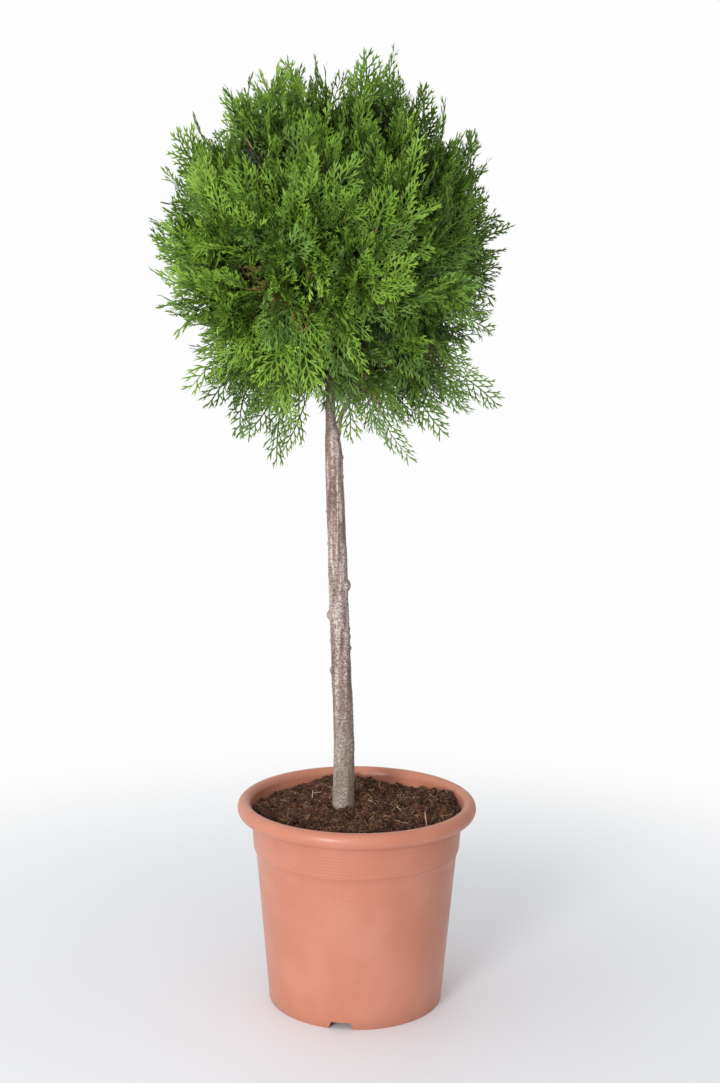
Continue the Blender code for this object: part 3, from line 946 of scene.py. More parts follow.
@dataclass
class Soil:
    """The potting mix: a heaped surface with crumbs, fibres and a few straws on it."""

    pot: Pot
    gap: float = 0.0004
    seat_radius: float = 0.036
    seat_height: float = 0.2300
    edge_height: float = 0.2205
    rings: int = 76
    segments: int = 240
    middle: float = 0.0035
    smallest_crumb: float = 0.0007
    crumb_corners: tuple[float, float] = (0.55, 1.25)
    crumbs_alike: int = 100
    crumb_lift: float = 0.25
    strand_steps: int = 5
    strand_sizes: tuple[float, float] = (0.6, 1.3)
    strand_taper: tuple = (0.5, 1, 1, 0.8, 0.3)
    trunk_x: float = -0.0162
    trunk_room: float = 0.0125
    edge_room: float = 0.003
    strand_limit: float = 0.116
    lumps: tuple = ((0.0034, 38, 0), (0.0040, 95, 7), (0.0026, 230, 3))
    lip_rise: float = 0.0022
    lip_width: float = 0.010
    heaps: tuple = (
        (-0.018, 0.098, 0.036, 0.0140),
        (-0.014, 0.040, 0.034, 0.0060),
        (0.098, 0.038, 0.030, 0.0140),
        (0.100, -0.012, 0.026, 0.0060),
        (-0.106, -0.004, 0.034, 0.0090),
        (-0.060, 0.080, 0.022, 0.0030),
        (0.030, 0.086, 0.024, 0.0030),
    )
    seed: int = 5
    bed: SoilFinish = SoilFinish("soil_bed", linear(34, 23, 19), linear(98, 69, 56))
    crumbs: tuple[Crumbs, ...] = (
        Crumbs("soil_crumbs", 3000, 0.0038,
               SoilFinish("soil_crumb", linear(40, 27, 22), linear(108, 76, 61))),
        Crumbs("soil_crumbs_pale", 900, 0.0020,
               SoilFinish("soil_crumb_pale", linear(104, 78, 62), linear(150, 122, 100))),
    )
    strands: tuple[Strands, ...] = (
        Strands("soil_fibres", 1900, (0.005, 0.016), 0.00032, 0.8, 0.0022,
                SoilFinish("soil_fibre", linear(84, 50, 36), linear(140, 88, 62))),
        Strands("soil_roots", 1300, (0.004, 0.014), 0.00024, 0.5, 0.0024,
                SoilFinish("soil_root", linear(134, 104, 80), linear(186, 154, 122))),
        Strands("soil_straws", 40, (0.008, 0.028), 0.00050, 0.10, 0.0034,
                SoilFinish("soil_straw", linear(178, 150, 116), linear(218, 194, 160))),
    )

    def surface(self, x: Array, y: Array) -> Array:
        """The heaped surface's height at each place, lumps included.

        Args:
            x: across the pot.
            y: from its front to its back.

        Returns:
            Heights.
        """
        edge = self.pot.collar_top[0] - self.pot.wall
        radius = np.hypot(x, y)
        share = np.clip((edge - radius) / (edge - self.seat_radius), 0, 1)
        rise = (1 - np.cos(share * np.pi)) / 2
        height = self.edge_height + (self.seat_height - self.edge_height) * rise
        flat = np.stack([x, y, np.zeros_like(x)], axis=1)
        lumps = sum(size * noise_at(flat, waves, shift) for size, waves, shift in self.lumps)
        lip = self.lip_rise * np.exp(-((edge - radius) / self.lip_width) ** 2)
        for heap_x, heap_y, width, rise in self.heaps:
            away = (x - heap_x) ** 2 + (y - heap_y) ** 2
            height = height + rise * np.exp(-away / width**2)
        return height + lumps + lip

    def bed_piece(self) -> Piece:
        """The body of soil, from the pot's floor to its lumpy top.

        Returns:
            The dressed bed.
        """
        lining = [(radius - self.gap, height + 0.6 * self.gap)
                  for radius, height in self.pot.inside()]
        edge = lining[-1][0]
        top = [(radius, self.edge_height)
               for radius in np.linspace(edge, self.middle, self.rings)]
        profile = [(self.middle, lining[0][1]), *lining[:-1], *top]
        bed = Lathe(self.segments).turn("soil_bed", profile)
        places = points_of(bed)
        upper = places[:, 2] > self.edge_height - 0.001
        places[upper, 2] = self.surface(places[upper, 0], places[upper, 1])
        move_points(bed, places)
        make_active(bed)
        bpy.ops.object.shade_smooth_by_angle(angle=math.radians(60))
        dress(bed, self.bed.material())
        return bed

    def scattered(self, rng: Rng, count: int) -> Array:
        """Places on the surface, none of them in the trunk.

        Args:
            rng: where the draws come from.
            count: how many at most.

        Returns:
            (places, 3) points on the surface.
        """
        edge = self.pot.collar_top[0] - self.pot.wall - self.edge_room
        radius = edge * np.sqrt(rng.uniform(0, 1, 2 * count))
        azimuth = rng.uniform(0, math.tau, 2 * count)
        x, y = radius * np.cos(azimuth), radius * np.sin(azimuth)
        clear = np.hypot(x - self.trunk_x, y) > self.trunk_room
        x, y = x[clear][:count], y[clear][:count]
        return np.stack([x, y, self.surface(x, y)], axis=1)

    def crumb_mesh(self, kind: Crumbs, rng: Rng) -> JoinedMesh:
        """Small angular crumbs, most of them a millimetre or two across.

        Args:
            kind: what sort of crumbs.
            rng: where the draws come from.

        Returns:
            The crumbs, not yet an object.
        """
        deselect_all()
        bpy.ops.mesh.primitive_ico_sphere_add(subdivisions=1, radius=1)
        ball = bpy.context.object
        corners = points_of(ball)
        faces = np.array([face.vertices[:] for face in ball.data.polygons])
        bpy.data.objects.remove(ball, do_unlink=True)
        joined = JoinedMesh(kind.name)
        places = self.scattered(rng, kind.count)
        smallest, alike = self.smallest_crumb, self.crumbs_alike
        size = smallest + (kind.largest - smallest) * rng.random(len(places)) ** 3
        for start in range(0, len(places), alike):
            shape = corners * rng.uniform(*self.crumb_corners, corners.shape)
            group = places[start:start + alike]
            spin = rng.uniform(0, math.tau, len(group))
            sine, cosine = np.sin(spin)[:, None], np.cos(spin)[:, None]
            turned = np.stack([
                shape[None, :, 0] * cosine - shape[None, :, 1] * sine,
                shape[None, :, 0] * sine + shape[None, :, 1] * cosine,
                np.broadcast_to(shape[None, :, 2], (len(group), len(shape))),
            ], axis=2)
            scale = size[start:start + alike, None, None]
            joined.add(turned * scale + group[:, None] + scale * [0, 0, self.crumb_lift], faces)
        return joined

    def strand_mesh(self, kind: Strands, rng: Rng) -> JoinedMesh:
        """Curved three-sided strands that lie on the surface.

        Args:
            kind: what sort of strands.
            rng: where the draws come from.

        Returns:
            The strands, not yet an object.
        """
        joined = JoinedMesh(kind.name)
        steps = self.strand_steps
        for x, y, _ in self.scattered(rng, kind.count):
            heading, bend = rng.uniform(0, math.tau), rng.normal(0, kind.curl)
            reach = rng.uniform(*kind.length)
            turn = heading + bend * np.linspace(0, 1, steps)
            pace = reach / (steps - 1)
            path_x = x + np.concatenate([[0], np.cumsum(np.cos(turn[1:]) * pace)])
            path_y = y + np.concatenate([[0], np.cumsum(np.sin(turn[1:]) * pace)])
            furthest = np.hypot(path_x, path_y).max()
            nearest = np.hypot(path_x - self.trunk_x, path_y).min()
            if furthest > self.strand_limit or nearest < self.trunk_room:
                continue
            lift = kind.radius + abs(rng.normal(0, kind.rise)) * np.linspace(1, 0, steps)
            path_z = self.surface(path_x, path_y) + lift
            path = np.stack([path_x, path_y, path_z], axis=1)
            thickness = kind.radius * rng.uniform(*self.strand_sizes)
            taper = thickness * np.array(self.strand_taper)
            joined.add(*tube_arrays(path, taper, 3))
        return joined

    def build(self) -> None:
        """Makes the bed and what lies on it."""
        rng = np.random.default_rng(self.seed)
        hand_over(self.bed_piece(), "soil", "soil")
        for kind in self.crumbs:
            self.crumb_mesh(kind, rng).deliver(kind.finish.material(), "soil")
        for kind in self.strands:
            self.strand_mesh(kind, rng).deliver(kind.finish.material(), "soil")


# ---------------- stem


@dataclass
class Stem:
    """Trunk, knots, leader and boughs, grown together under one bark."""

    trunk: tuple = (
        (0.2285, -0.0162, 0.0000, 0.0275),
        (0.2420, -0.0160, 0.0000, 0.0254),
        (0.3100, -0.0153, 0.0010, 0.0242),
        (0.3810, -0.0188, 0.0016, 0.0232),
        (0.4560, -0.0222, 0.0004, 0.0228),
        (0.5200, -0.0244, -0.0010, 0.0222),
        (0.6160, -0.0287, -0.0004, 0.0205),
        (0.6620, -0.0308, 0.0004, 0.0197),
        (0.6680, -0.0310, 0.0004, 0.0176),
    )
    shoulder: tuple = (
        (0.6725, -0.0318, 0.0005, 0.0150),
        (0.6790, -0.0334, 0.0008, 0.0106),
    )
    leader: tuple = (
        (0.6400, -0.0335, 0.0010, 0.0116),
        (0.6900, -0.0343, 0.0010, 0.0114),
        (0.7460, -0.0330, 0.0000, 0.0104),
        (0.8200, -0.0350, -0.0010, 0.0084),
        (0.9000, -0.0362, 0.0000, 0.0060),
        (0.9640, -0.0360, 0.0000, 0.0036),
    )
    knots: tuple = (
        (0.3920, 175, 0.0034),
        (0.4580, 185, 0.0046),
        (0.4930, -20, 0.0058),
        (0.4180, 10, 0.0030),
        (0.6400, 5, 0.0026),
    )
    buds: tuple = ((0.432, 8), (0.441, 14), (0.427, 172), (0.578, 168), (0.541, 176),
                   (0.618, -8), (0.350, 20), (0.470, 30), (0.505, -160), (0.560, 60))
    bud_radius: float = 0.0021
    smooth_side: int = 3
    bevel: float = 0.01
    roundness: tuple[int, int, int] = (8, 6, 3)
    voxel: float = 0.0012
    relief: float = 0.00045
    plate_waves: float = 210
    plate_share: float = 0.8
    band_waves: float = 420
    band_share: float = 0.7
    swell_waves: float = 45
    swell_rise: float = 0.0005
    calm_from: float = 0.66
    calm_over: float = 0.05
    calm_share: float = 0.65
    finish: BarkFinish = BarkFinish()

    def at_height(self, rows: tuple, height: float) -> Station:
        """The limb's centre and radius at a height, between its stations.

        Args:
            rows: the limb's stations.
            height: above the floor.

        Returns:
            The centre and the radius.
        """
        table = np.array(rows)
        x, y, diameter = (float(np.interp(height, table[:, 0], table[:, i])) for i in (1, 2, 3))
        return Vector((x, y, height)), diameter / 2

    def smooth_rows(self, rows: tuple, step: float = 0.006) -> list[Station]:
        """The stations carried on a smooth curve, one every few millimetres.

        Args:
            rows: heights, centres and diameters.
            step: the distance between stations.

        Returns:
            Centres and radii.
        """
        table = np.array(rows)
        span = table[-1, 0] - table[0, 0]
        heights = np.linspace(table[0, 0], table[-1, 0], max(3, round(span / step)))
        side = self.smooth_side
        window = 2 * side + 1
        columns = []
        for i in (1, 2, 3):
            plain = np.interp(heights, table[:, 0], table[:, i])
            if len(heights) > 3 * side:
                padded = np.pad(plain, side, mode="edge")
                inner = np.convolve(padded, np.ones(window) / window, mode="valid")
                inner[:side], inner[-side:] = plain[:side], plain[-side:]
                plain = inner
            columns.append(plain)
        return [(Vector((x, y, z)), d / 2) for z, x, y, d in zip(heights, *columns)]

    def limb(self, stations: list[Station], resolution: int) -> Piece:
        """One tapering limb with filled ends, as a mesh.

        Args:
            stations: centres and radii from root to tip.
            resolution: the roundness of its section.

        Returns:
            The limb's object.
        """
        deselect_all()
        bpy.ops.curve.primitive_nurbs_path_add(location=(0, 0, 0))
        piece = bpy.context.object
        curve = piece.data
        curve.splines.clear()
        spline = curve.splines.new("POLY")
        spline.points.add(len(stations) - 1)
        for point, (place, radius) in zip(spline.points, stations):
            point.co = (*place, 1)
            point.radius = radius / self.bevel
        curve.bevel_depth = self.bevel
        curve.bevel_resolution = resolution
        curve.use_fill_caps = True
        make_active(piece)
        bpy.ops.object.convert(target="MESH")
        bpy.ops.object.mode_set(mode="EDIT")
        bpy.ops.mesh.select_all(action="SELECT")
        bpy.ops.mesh.remove_doubles(threshold=1e-6)
        bpy.ops.object.mode_set(mode="OBJECT")
        return bpy.context.object

    def knot(self, height: float, azimuth: float, radius: float) -> Piece:
        """A knot where a side shoot was pruned, half sunk in the trunk.

        Args:
            height: above the floor.
            azimuth: where it faces, in degrees.
            radius: its own radius.

        Returns:
            The knot.
        """
        centre, trunk_radius = self.at_height(self.trunk, height)
        angle = math.radians(azimuth)
        out = Vector((math.cos(angle), math.sin(angle), 0))
        deselect_all()
        place = centre + out * (trunk_radius - 0.35 * radius)
        bpy.ops.mesh.primitive_ico_sphere_add(subdivisions=3, radius=radius, location=place,
                                              scale=(1, 1, 1.3))
        return bpy.context.object

    def grow_together(self, parts: list[Piece]) -> Piece:
        """Joins the parts and remeshes them as one skin, so that every fork blends.

        Args:
            parts: limbs and knots.

        Returns:
            The stem.
        """
        deselect_all()
        for part in parts:
            part.select_set(True)
        bpy.context.view_layer.objects.active = parts[0]
        bpy.ops.object.join()
        stem = bpy.context.object
        stem.name = stem.data.name = "stem_and_boughs"
        settle(stem)
        remesh = stem.modifiers.new("one skin", "REMESH")
        remesh.mode = "VOXEL"
        remesh.voxel_size = self.voxel
        apply_modifier(stem, "one skin")
        relax = stem.modifiers.new("relax", "SMOOTH")
        relax.factor = 0.5
        relax.iterations = 4
        apply_modifier(stem, "relax")
        return stem

    def roughen(self, stem: Piece) -> None:
        """Raises the bark's plates and cross bands along the surface's normals.

        Args:
            stem: the stem as one skin.
        """
        places = points_of(stem)
        normals = np.empty(len(places) * 3)
        stem.data.vertices.foreach_get("normal", normals)
        normals = normals.reshape(-1, 3)
        plates = noise_at(places * [1, 1, 0.25], self.plate_waves)
        bands = noise_at(places * [0.25, 0.25, 1], self.band_waves, 5)
        swell = noise_at(places, self.swell_waves, 11)
        height = (self.relief * (self.plate_share * plates + self.band_share * bands)
                  + self.swell_rise * swell)
        thin = np.clip((places[:, 2] - self.calm_from) / self.calm_over, 0, 1)
        height *= 1 - self.calm_share * thin
        move_points(stem, places + normals * height[:, None])

    def build(self, boughs: list[list[Station]]) -> None:
        """Makes the whole stem.

        Args:
            boughs: the stations of each bough.
        """
        for_trunk, for_leader, for_bough = self.roundness
        parts = [self.limb(self.smooth_rows(self.trunk + self.shoulder), for_trunk),
                 self.limb(self.smooth_rows(self.leader), for_leader)]
        parts += [self.knot(*knot) for knot in self.knots]
        parts += [self.knot(height, azimuth, self.bud_radius) for height, azimuth in self.buds]
        parts += [self.limb(stations, for_bough) for stations in boughs]
        stem = self.grow_together(parts)
        self.roughen(stem)
        make_active(stem)
        bpy.ops.object.shade_smooth()
        dress(stem, self.finish.material())
        names = [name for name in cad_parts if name.startswith(("trunk", "bough"))]
        hand_over(stem, "bark", *sorted(names))


# ---------------- crown


@dataclass
class Mass:
    """One share of the crown: its direction, its middle and the bough that carries it."""

    name: str
    tier: str
    aim: Vector
    rise: float
    stagger: float
    middle: Vector = field(default_factory=Vector)
    bough: list[Station] = field(default_factory=list)


@dataclass
class CrownRule:
    """The rule that the solids' crown follows: its reach, its masses and their boughs."""

    centre: Vector = field(default_factory=lambda: Vector((-0.036, 0.0, 0.868)))
    reach_side: float = 0.192
    reach_up: float = 0.216
    reach_down: float = 0.196
    lump_share: float = 0.13
    lump_scale: float = 2.6
    lump_place: Vector = field(default_factory=lambda: Vector((3.1, 7.4, 1.9)))
    tiers: tuple = (
        ("top", 1, 90, 0, 90),
        ("upper", 4, 46, 40, 52),
        ("middle", 6, 6, 12, 38),
        ("lower", 5, -40, -14, 36),
    )
    core_share: float = 0.63
    bough_stop: float = 0.050
    bough_stagger: float = 0.015
    bough_radii: tuple[float, float] = (0.0044, 0.0026)
    bough_sunk: float = 0.002
    bough_start: float = 0.004
    bough_bend: float = 0.35
    bough_steps: int = 9
    top_radius: float = 0.0018
    slim_bough: float = 0.75
    fork_mass: str = "lower_1"
    fork_side: float = 0.38
    gap: float = 0.0004

    def reach(self, way: Vector) -> float:
        """How far the foliage goes from the crown's centre in a direction.

        Args:
            way: a unit vector.

        Returns:
            The distance.
        """
        vertical = self.reach_up if way.z > 0 else self.reach_down
        flat = (way.x**2 + way.y**2) / self.reach_side**2
        plain = 1 / math.sqrt(flat + (way.z / vertical) ** 2)
        lump = noise.noise(way * self.lump_scale + self.lump_place)
        return plain * (1 + self.lump_share * lump)

    @staticmethod
    def direction(azimuth: float, elevation: float) -> Vector:
        """A unit vector from angles in degrees."""
        a, e = math.radians(azimuth), math.radians(elevation)
        return Vector((math.cos(a) * math.cos(e), math.sin(a) * math.cos(e), math.sin(e)))

    def masses(self) -> list[Mass]:
        """Every mass in its place, without its bough.

        Returns:
            The masses, from the top down.
        """
        made = []
        for tier, count, elevation, first, rise in self.tiers:
            for i in range(count):
                name = tier if count == 1 else f"{tier}_{i + 1}"
                aim = self.direction(first + i * 360 / count, elevation)
                stagger = i % (3 if count % 2 else 2) * self.bough_stagger
                mass = Mass(name, tier, aim, math.radians(rise), stagger)
                mass.middle = self.centre + aim * self.core_share * self.reach(aim)
                made.append(mass)
        return made

    def bough(self, mass: Mass, stem: Stem) -> list[Station]:
        """The stations of a mass's bough, from the trunk to its tip.

        Args:
            mass: the mass that it carries.
            stem: the stem that it leaves.

        Returns:
            Centres and radii.
        """
        centre, aim = mass.middle, mass.aim
        if mass.name == "top":
            height, x, y, _ = stem.leader[-1]
            return [(Vector((x, y, height)), self.top_radius)]
        flat = Vector((aim.x, aim.y, 0)).normalized()
        if mass.name == self.fork_mass:
            height, x, _, diameter = stem.trunk[-1]
            root = Vector((x + self.fork_side * diameter, 0.0004, height + self.gap))
            out = UP
        else:
            spread = (centre - self.centre).xy.length
            height = centre.z - math.tan(mass.rise) * spread + mass.stagger
            trunk_centre, trunk_radius = stem.at_height(stem.leader, height)
            root, out = trunk_centre + flat * (trunk_radius + self.gap), flat
        tip = centre - (centre - root).normalized() * self.bough_stop
        start = root + out * self.bough_start
        bend = start + out * (tip - start).length * self.bough_bend
        slim = mass.tier == "upper" or mass.name == self.fork_mass
        thick = self.slim_bough if slim else 1.0
        stations = [(root - out * self.bough_sunk, thick * self.bough_radii[0])]
        for share in np.linspace(0, 1, self.bough_steps):
            place = start.lerp(bend, share).lerp(bend.lerp(tip, share), share)
            radius = thick * float(np.interp(share, (0, 1), self.bough_radii))
            stations.append((place, radius))
        return stations


class Habit(Enum):
    """How a spray grows: feathers stand up, fans open flat, loose ones hang, short ones fill."""

    FEATHER = 0
    FAN = 1
    LOOSE = 2
    SHORT = 3


@dataclass(frozen=True)
class Frond:
    """A flat spray of scale-leaved branchlets, along +X and facing +Z.

    Lengths are in metres. A pair is a start and an end, or a least and a most.
    """

    STEM_WIDTHS = np.array([0.9, 1.0, 1.05, 1.0, 0.95, 0.9, 0.0])
    SIDE_WIDTHS = np.array([0.75, 0.95, 0.95, 0.0])
    SHOOT_WIDTHS = np.array([0.7, 1.0, 0.0])
    FORK_WIDTHS = np.array([0.7, 0.95, 0.0])

    length: float
    spread: float
    pairs: int
    angles: tuple[float, float]
    fullest: float
    curl: float
    spacing: float
    longest_shoot: float
    width: float
    seed: int
    rise: tuple[float, float] = (0.45, 0.55)
    fall: tuple[float, float, float] = (0.20, 0.80, 0.85)
    sway: float = 0.0025
    sway_waves: float = 1.3
    first_side: float = 0.07
    side_span: float = 0.86
    side_jitter: float = 0.35
    side_lengths: tuple[float, float] = (0.70, 1.15)
    angle_spread: float = 5.5
    curls: tuple[float, float] = (0.5, 1.4)
    paces: tuple[float, float, float] = (0.42, 0.36, 0.22)
    shoot_room: float = 0.0045
    first_shoot: float = 0.0040
    jitter: float = 0.0005
    shoot_angles: tuple[float, float] = (0.45, 0.68)
    shoot_share: float = 0.48
    shortest_shoot: float = 0.0032
    shoot_lengths: tuple[float, float] = (0.75, 1.15)
    shoot_bend: float = 0.22
    knee: tuple[float, float] = (0.55, 0.45)
    fork_at: float = 0.45
    fork_length: float = 0.45
    fork_middle: float = 0.6
    least_forked: float = 0.0065
    fork_angles: tuple[float, float] = (0.9, 1.1)
    woody: int = 4
    blade_tilt: float = 0.8
    ripple: float = 0.24
    ripple_waves: float = 170

    def side_length(self, share: float) -> float:
        """How long a side branchlet is at a share of the stem's length.

        Args:
            share: the place on the spray's stem, from 0 to 1.

        Returns:
            The length.
        """
        rise = min(1.0, self.rise[0] + self.rise[1] * share / self.fullest)
        fall = 1.0 if share < self.fullest else (1 - share) / (1 - self.fullest)
        return self.spread * rise * (self.fall[0] + self.fall[1] * max(fall, 0.0) ** self.fall[2])

    def blades(self) -> list[tuple[Array, Array, int]]:
        """Every branchlet as its centre line, its half widths and its order, 0 the stem.

        Returns:
            Centre lines, half widths and orders.
        """
        rng = np.random.default_rng(self.seed)
        sway = self.sway * rng.choice([-1, 1])
        stem_x = np.linspace(0, self.length, len(self.STEM_WIDTHS))
        stem_y = sway * np.sin(stem_x / self.length * math.pi * self.sway_waves)
        rows = [(np.stack([stem_x, stem_y], 1), 0.5 * self.width * self.STEM_WIDTHS, 0)]
        count = 2 * self.pairs
        for i in range(count):
            place = i + self.side_jitter * rng.random()
            share = self.first_side + self.side_span * place / count
            root = np.array([share * self.length,
                             float(np.interp(share * self.length, stem_x, stem_y))])
            reach = self.side_length(share) * rng.uniform(*self.side_lengths)
            off = rng.normal(0, self.angle_spread)
            angle = math.radians(np.interp(share, (0, 1), self.angles) + off)
            curl = self.curl * rng.uniform(*self.curls)
            rows += self.branchlet(root, 1 if i % 2 else -1, angle, curl, reach, rng)
        return rows

    def branchlet(self, root: Array, side: int, angle: float, curl: float, reach: float,
                  rng: Rng) -> list[tuple[Array, Array, int]]:
        """One side branchlet with its own forked shoots.

        Args:
            root: where it leaves the spray's stem.
            side: 1 or -1.
            angle: from the stem, in radians.
            curl: how far it turns along its length.
            reach: its length.
            rng: where the draws come from.

        Returns:
            Centre lines, half widths and orders.
        """
        turns = angle + curl * np.array([0.0, 0.5, 1.0])
        pace = reach * np.array(self.paces)
        steps = np.stack([np.cos(turns) * pace, side * np.sin(turns) * pace], 1)
        line = root + np.concatenate([[[0, 0]], np.cumsum(steps, axis=0)])
        half = 0.5 * self.width
        rows = [(line, half * self.SIDE_WIDTHS, 1)]
        travelled = np.concatenate([[0], np.cumsum(pace)])
        for j in range(int((reach - self.shoot_room) / self.spacing)):
            along = self.first_shoot + j * self.spacing + rng.uniform(-self.jitter, self.jitter)
            start = np.array([np.interp(along, travelled, line[:, k]) for k in (0, 1)])
            out = -side if j % 2 else side
            turn = side * (angle + curl * along / reach) + out * rng.uniform(*self.shoot_angles)
            long = min(self.longest_shoot,
                       self.shoot_share * (reach - along) + self.shortest_shoot)
            long *= rng.uniform(*self.shoot_lengths)
            bent = turn - out * self.shoot_bend
            knee = start + self.knee[0] * long * np.array([math.cos(turn), math.sin(turn)])
            end = knee + self.knee[1] * long * np.array([math.cos(bent), math.sin(bent)])
            rows.append((np.stack([start, knee, end]), half * self.SHOOT_WIDTHS, 2))
            if long > self.least_forked:
                fork = start + self.fork_at * (knee - start)
                away = turn - out * rng.uniform(*self.fork_angles)
                tip = fork + self.fork_length * long * np.array([math.cos(away), math.sin(away)])
                middle = fork + self.fork_middle * (tip - fork)
                rows.append((np.stack([fork, middle, tip]), half * self.FORK_WIDTHS, 3))
        return rows

    def arrays(self) -> tuple[Array, dict[int, Array]]:
        """The spray as points and triangles.

        Returns:
            Its points, and its faces by age: 0 the older stems, 1 the young green, 2 the ends.
        """
        rng = np.random.default_rng(self.seed + 1000)
        points: list[tuple[float, float, float]] = []
        faces: dict[int, list[tuple[int, int, int]]] = {0: [], 1: [], 2: []}
        for line, half, order in self.blades():
            first = len(points)
            heading = np.gradient(line, axis=0)
            heading /= np.linalg.norm(heading, axis=1, keepdims=True) + 1e-12
            tilt = rng.uniform(-self.blade_tilt, self.blade_tilt)
            last = len(line) - 1
            for k in range(last):
                for sign in (1, -1):
                    x = line[k, 0] - sign * half[k] * heading[k, 1]
                    y = line[k, 1] + sign * half[k] * heading[k, 0]
                    points.append((x, y, sign * half[k] * tilt))
            points.append((line[last, 0], line[last, 1], 0.0))
            for k in range(last - 1):
                a = first + 2 * k
                old = (order == 0 and k < self.woody) or (order == 1 and k == 0)
                age = 0 if old else 1
                faces[age] += [(a, a + 1, a + 3), (a, a + 3, a + 2)]
            a = first + 2 * (last - 1)
            faces[2].append((a, a + 1, first + 2 * last))
        table = np.array(points)
        wave = np.sin(table[:, 0] * self.ripple_waves + self.seed)
        table[:, 2] += self.ripple * table[:, 1] * wave
        return table, {age: np.array(rows) for age, rows in faces.items()}


def frond_family(count: int, length: tuple[float, float], spread: tuple[float, float],
                 first_seed: int, **shared: object) -> list[Frond]:
    """Fronds of one habit that grow from a smallest by even steps.

    Args:
        count: how many.
        length: the smallest's length, and the step to the next.
        spread: the smallest's spread, and the step to the next.
        first_seed: the smallest's seed.
        shared: what all of them have in common.

    Returns:
        The fronds, from the smallest to the largest.
    """
    return [Frond(length=length[0] + length[1] * i, spread=spread[0] + spread[1] * i,
                  seed=first_seed + i, **shared) for i in range(count)]


FRONDS = {
    Habit.FEATHER: frond_family(
        5, (0.052, 0.005), (0.020, 0.0014), 10, pairs=7, angles=(40, 24), fullest=0.24,
        curl=-0.30, spacing=0.0042, longest_shoot=0.0078, width=0.00160),
    Habit.FAN: frond_family(
        5, (0.040, 0.0045), (0.031, 0.002), 30, pairs=5, angles=(58, 22), fullest=0.10,
        curl=-0.50, spacing=0.0043, longest_shoot=0.0096, width=0.00170),
    Habit.LOOSE: frond_family(
        4, (0.056, 0.008), (0.031, 0.002), 50, pairs=6, angles=(50, 30), fullest=0.22,
        curl=-0.35, spacing=0.0058, longest_shoot=0.0105, width=0.00160),
    Habit.SHORT: frond_family(
        3, (0.040, 0.005), (0.020, 0.0), 70, pairs=5, angles=(44, 28), fullest=0.25,
        curl=-0.30, spacing=0.0066, longest_shoot=0.0080, width=0.0020),
}


@dataclass
class FrondPlace:
    """One frond's root, headings, shape, bends and colour."""

    root: Array
    along: Array
    face: Array
    habit: Habit
    number: int
    size: float
    bend: float
    cup: float
    sweep: float
    lift: float
    tone: float
    own: Tint | None


@dataclass(frozen=True)
class ToneRule:
    """How light a shoot's green is, from 0 in the inside, darkened partly as painted shade, to 3
    at the freshest tips; its slopes with height and side are painted light and shade.
    """

    base: float = 2.02
    painted_shade_per_rise: float = 0.50
    lowest: float = -0.45
    painted_shade_per_right: float = 0.32
    patch: float = 0.75
    patch_waves: float = 3.5
    patch_place: tuple[float, float, float] = (9, 2, 4)
    spread: float = 0.45
    frond_spread: float = 0.30
    end_frond: float = 0.20
    age_and_painted_shade_per_frond: float = -0.17

    def shoot(self, kind_tone: float, way: Array, rng: Rng) -> float:
        """The tone of a shoot: lighter low down and on the lit left side as painted light, darker
        higher up and to the right as painted shade, in soft patches.

        Args:
            kind_tone: what its kind adds.
            way: its direction from the centre.
            rng: where the draws come from.

        Returns:
            The tone.
        """
        patch = noise.noise(Vector(way) * self.patch_waves + Vector(self.patch_place))
        # painted light and shade: lower shoots and those on the left, the lamp's side, get a
        # lighter green; higher and right-hand ones a darker one
        rise, side = max(float(way[2]), self.lowest), float(way[0])
        return (self.base + kind_tone - self.painted_shade_per_rise * rise - self.painted_shade_per_right * side
                + self.patch * patch + rng.normal(0, self.spread))

    def frond(self, tone: float, number: int, rng: Rng) -> float:
        """The tone of one of its fronds, counted from the shoot's end: those further in are
        darker, partly for age and partly as painted shade.
        """
        step = self.age_and_painted_shade_per_frond * number if number else self.end_frond
        return tone + rng.normal(0, self.frond_spread) + step


@dataclass(frozen=True)
class ShootKind:
    """A sort of leafy shoot: what it carries, and how many there are and how far out."""

    name: str
    fronds: int
    pitch: float
    tone: float
    spread: float
    count: int = 0
    shares: tuple[float, float] = (1.0, 1.0)
    lowest: float = -90
    clump: int = 1
    scatter: float = 0.05


@dataclass(frozen=True)
class FrondRanges:
    """How the fronds of a shoot vary: a mean and a spread, or a least and a most, of each."""

    angle: tuple[float, float] = (0.66, 0.10)
    tilt: tuple[float, float] = (0, 0.24)
    size: tuple[float, float] = (0.86, 1.08)
    side_size: float = 0.72
    side_step: float = 0.035
    bend: tuple[float, float] = (2.5, 2.0)
    cup: tuple[float, float] = (-2.5, 3.0)
    sweep: tuple[float, float] = (2.0, 5.5)
    lift: tuple[float, float] = (0.6, 2.2)


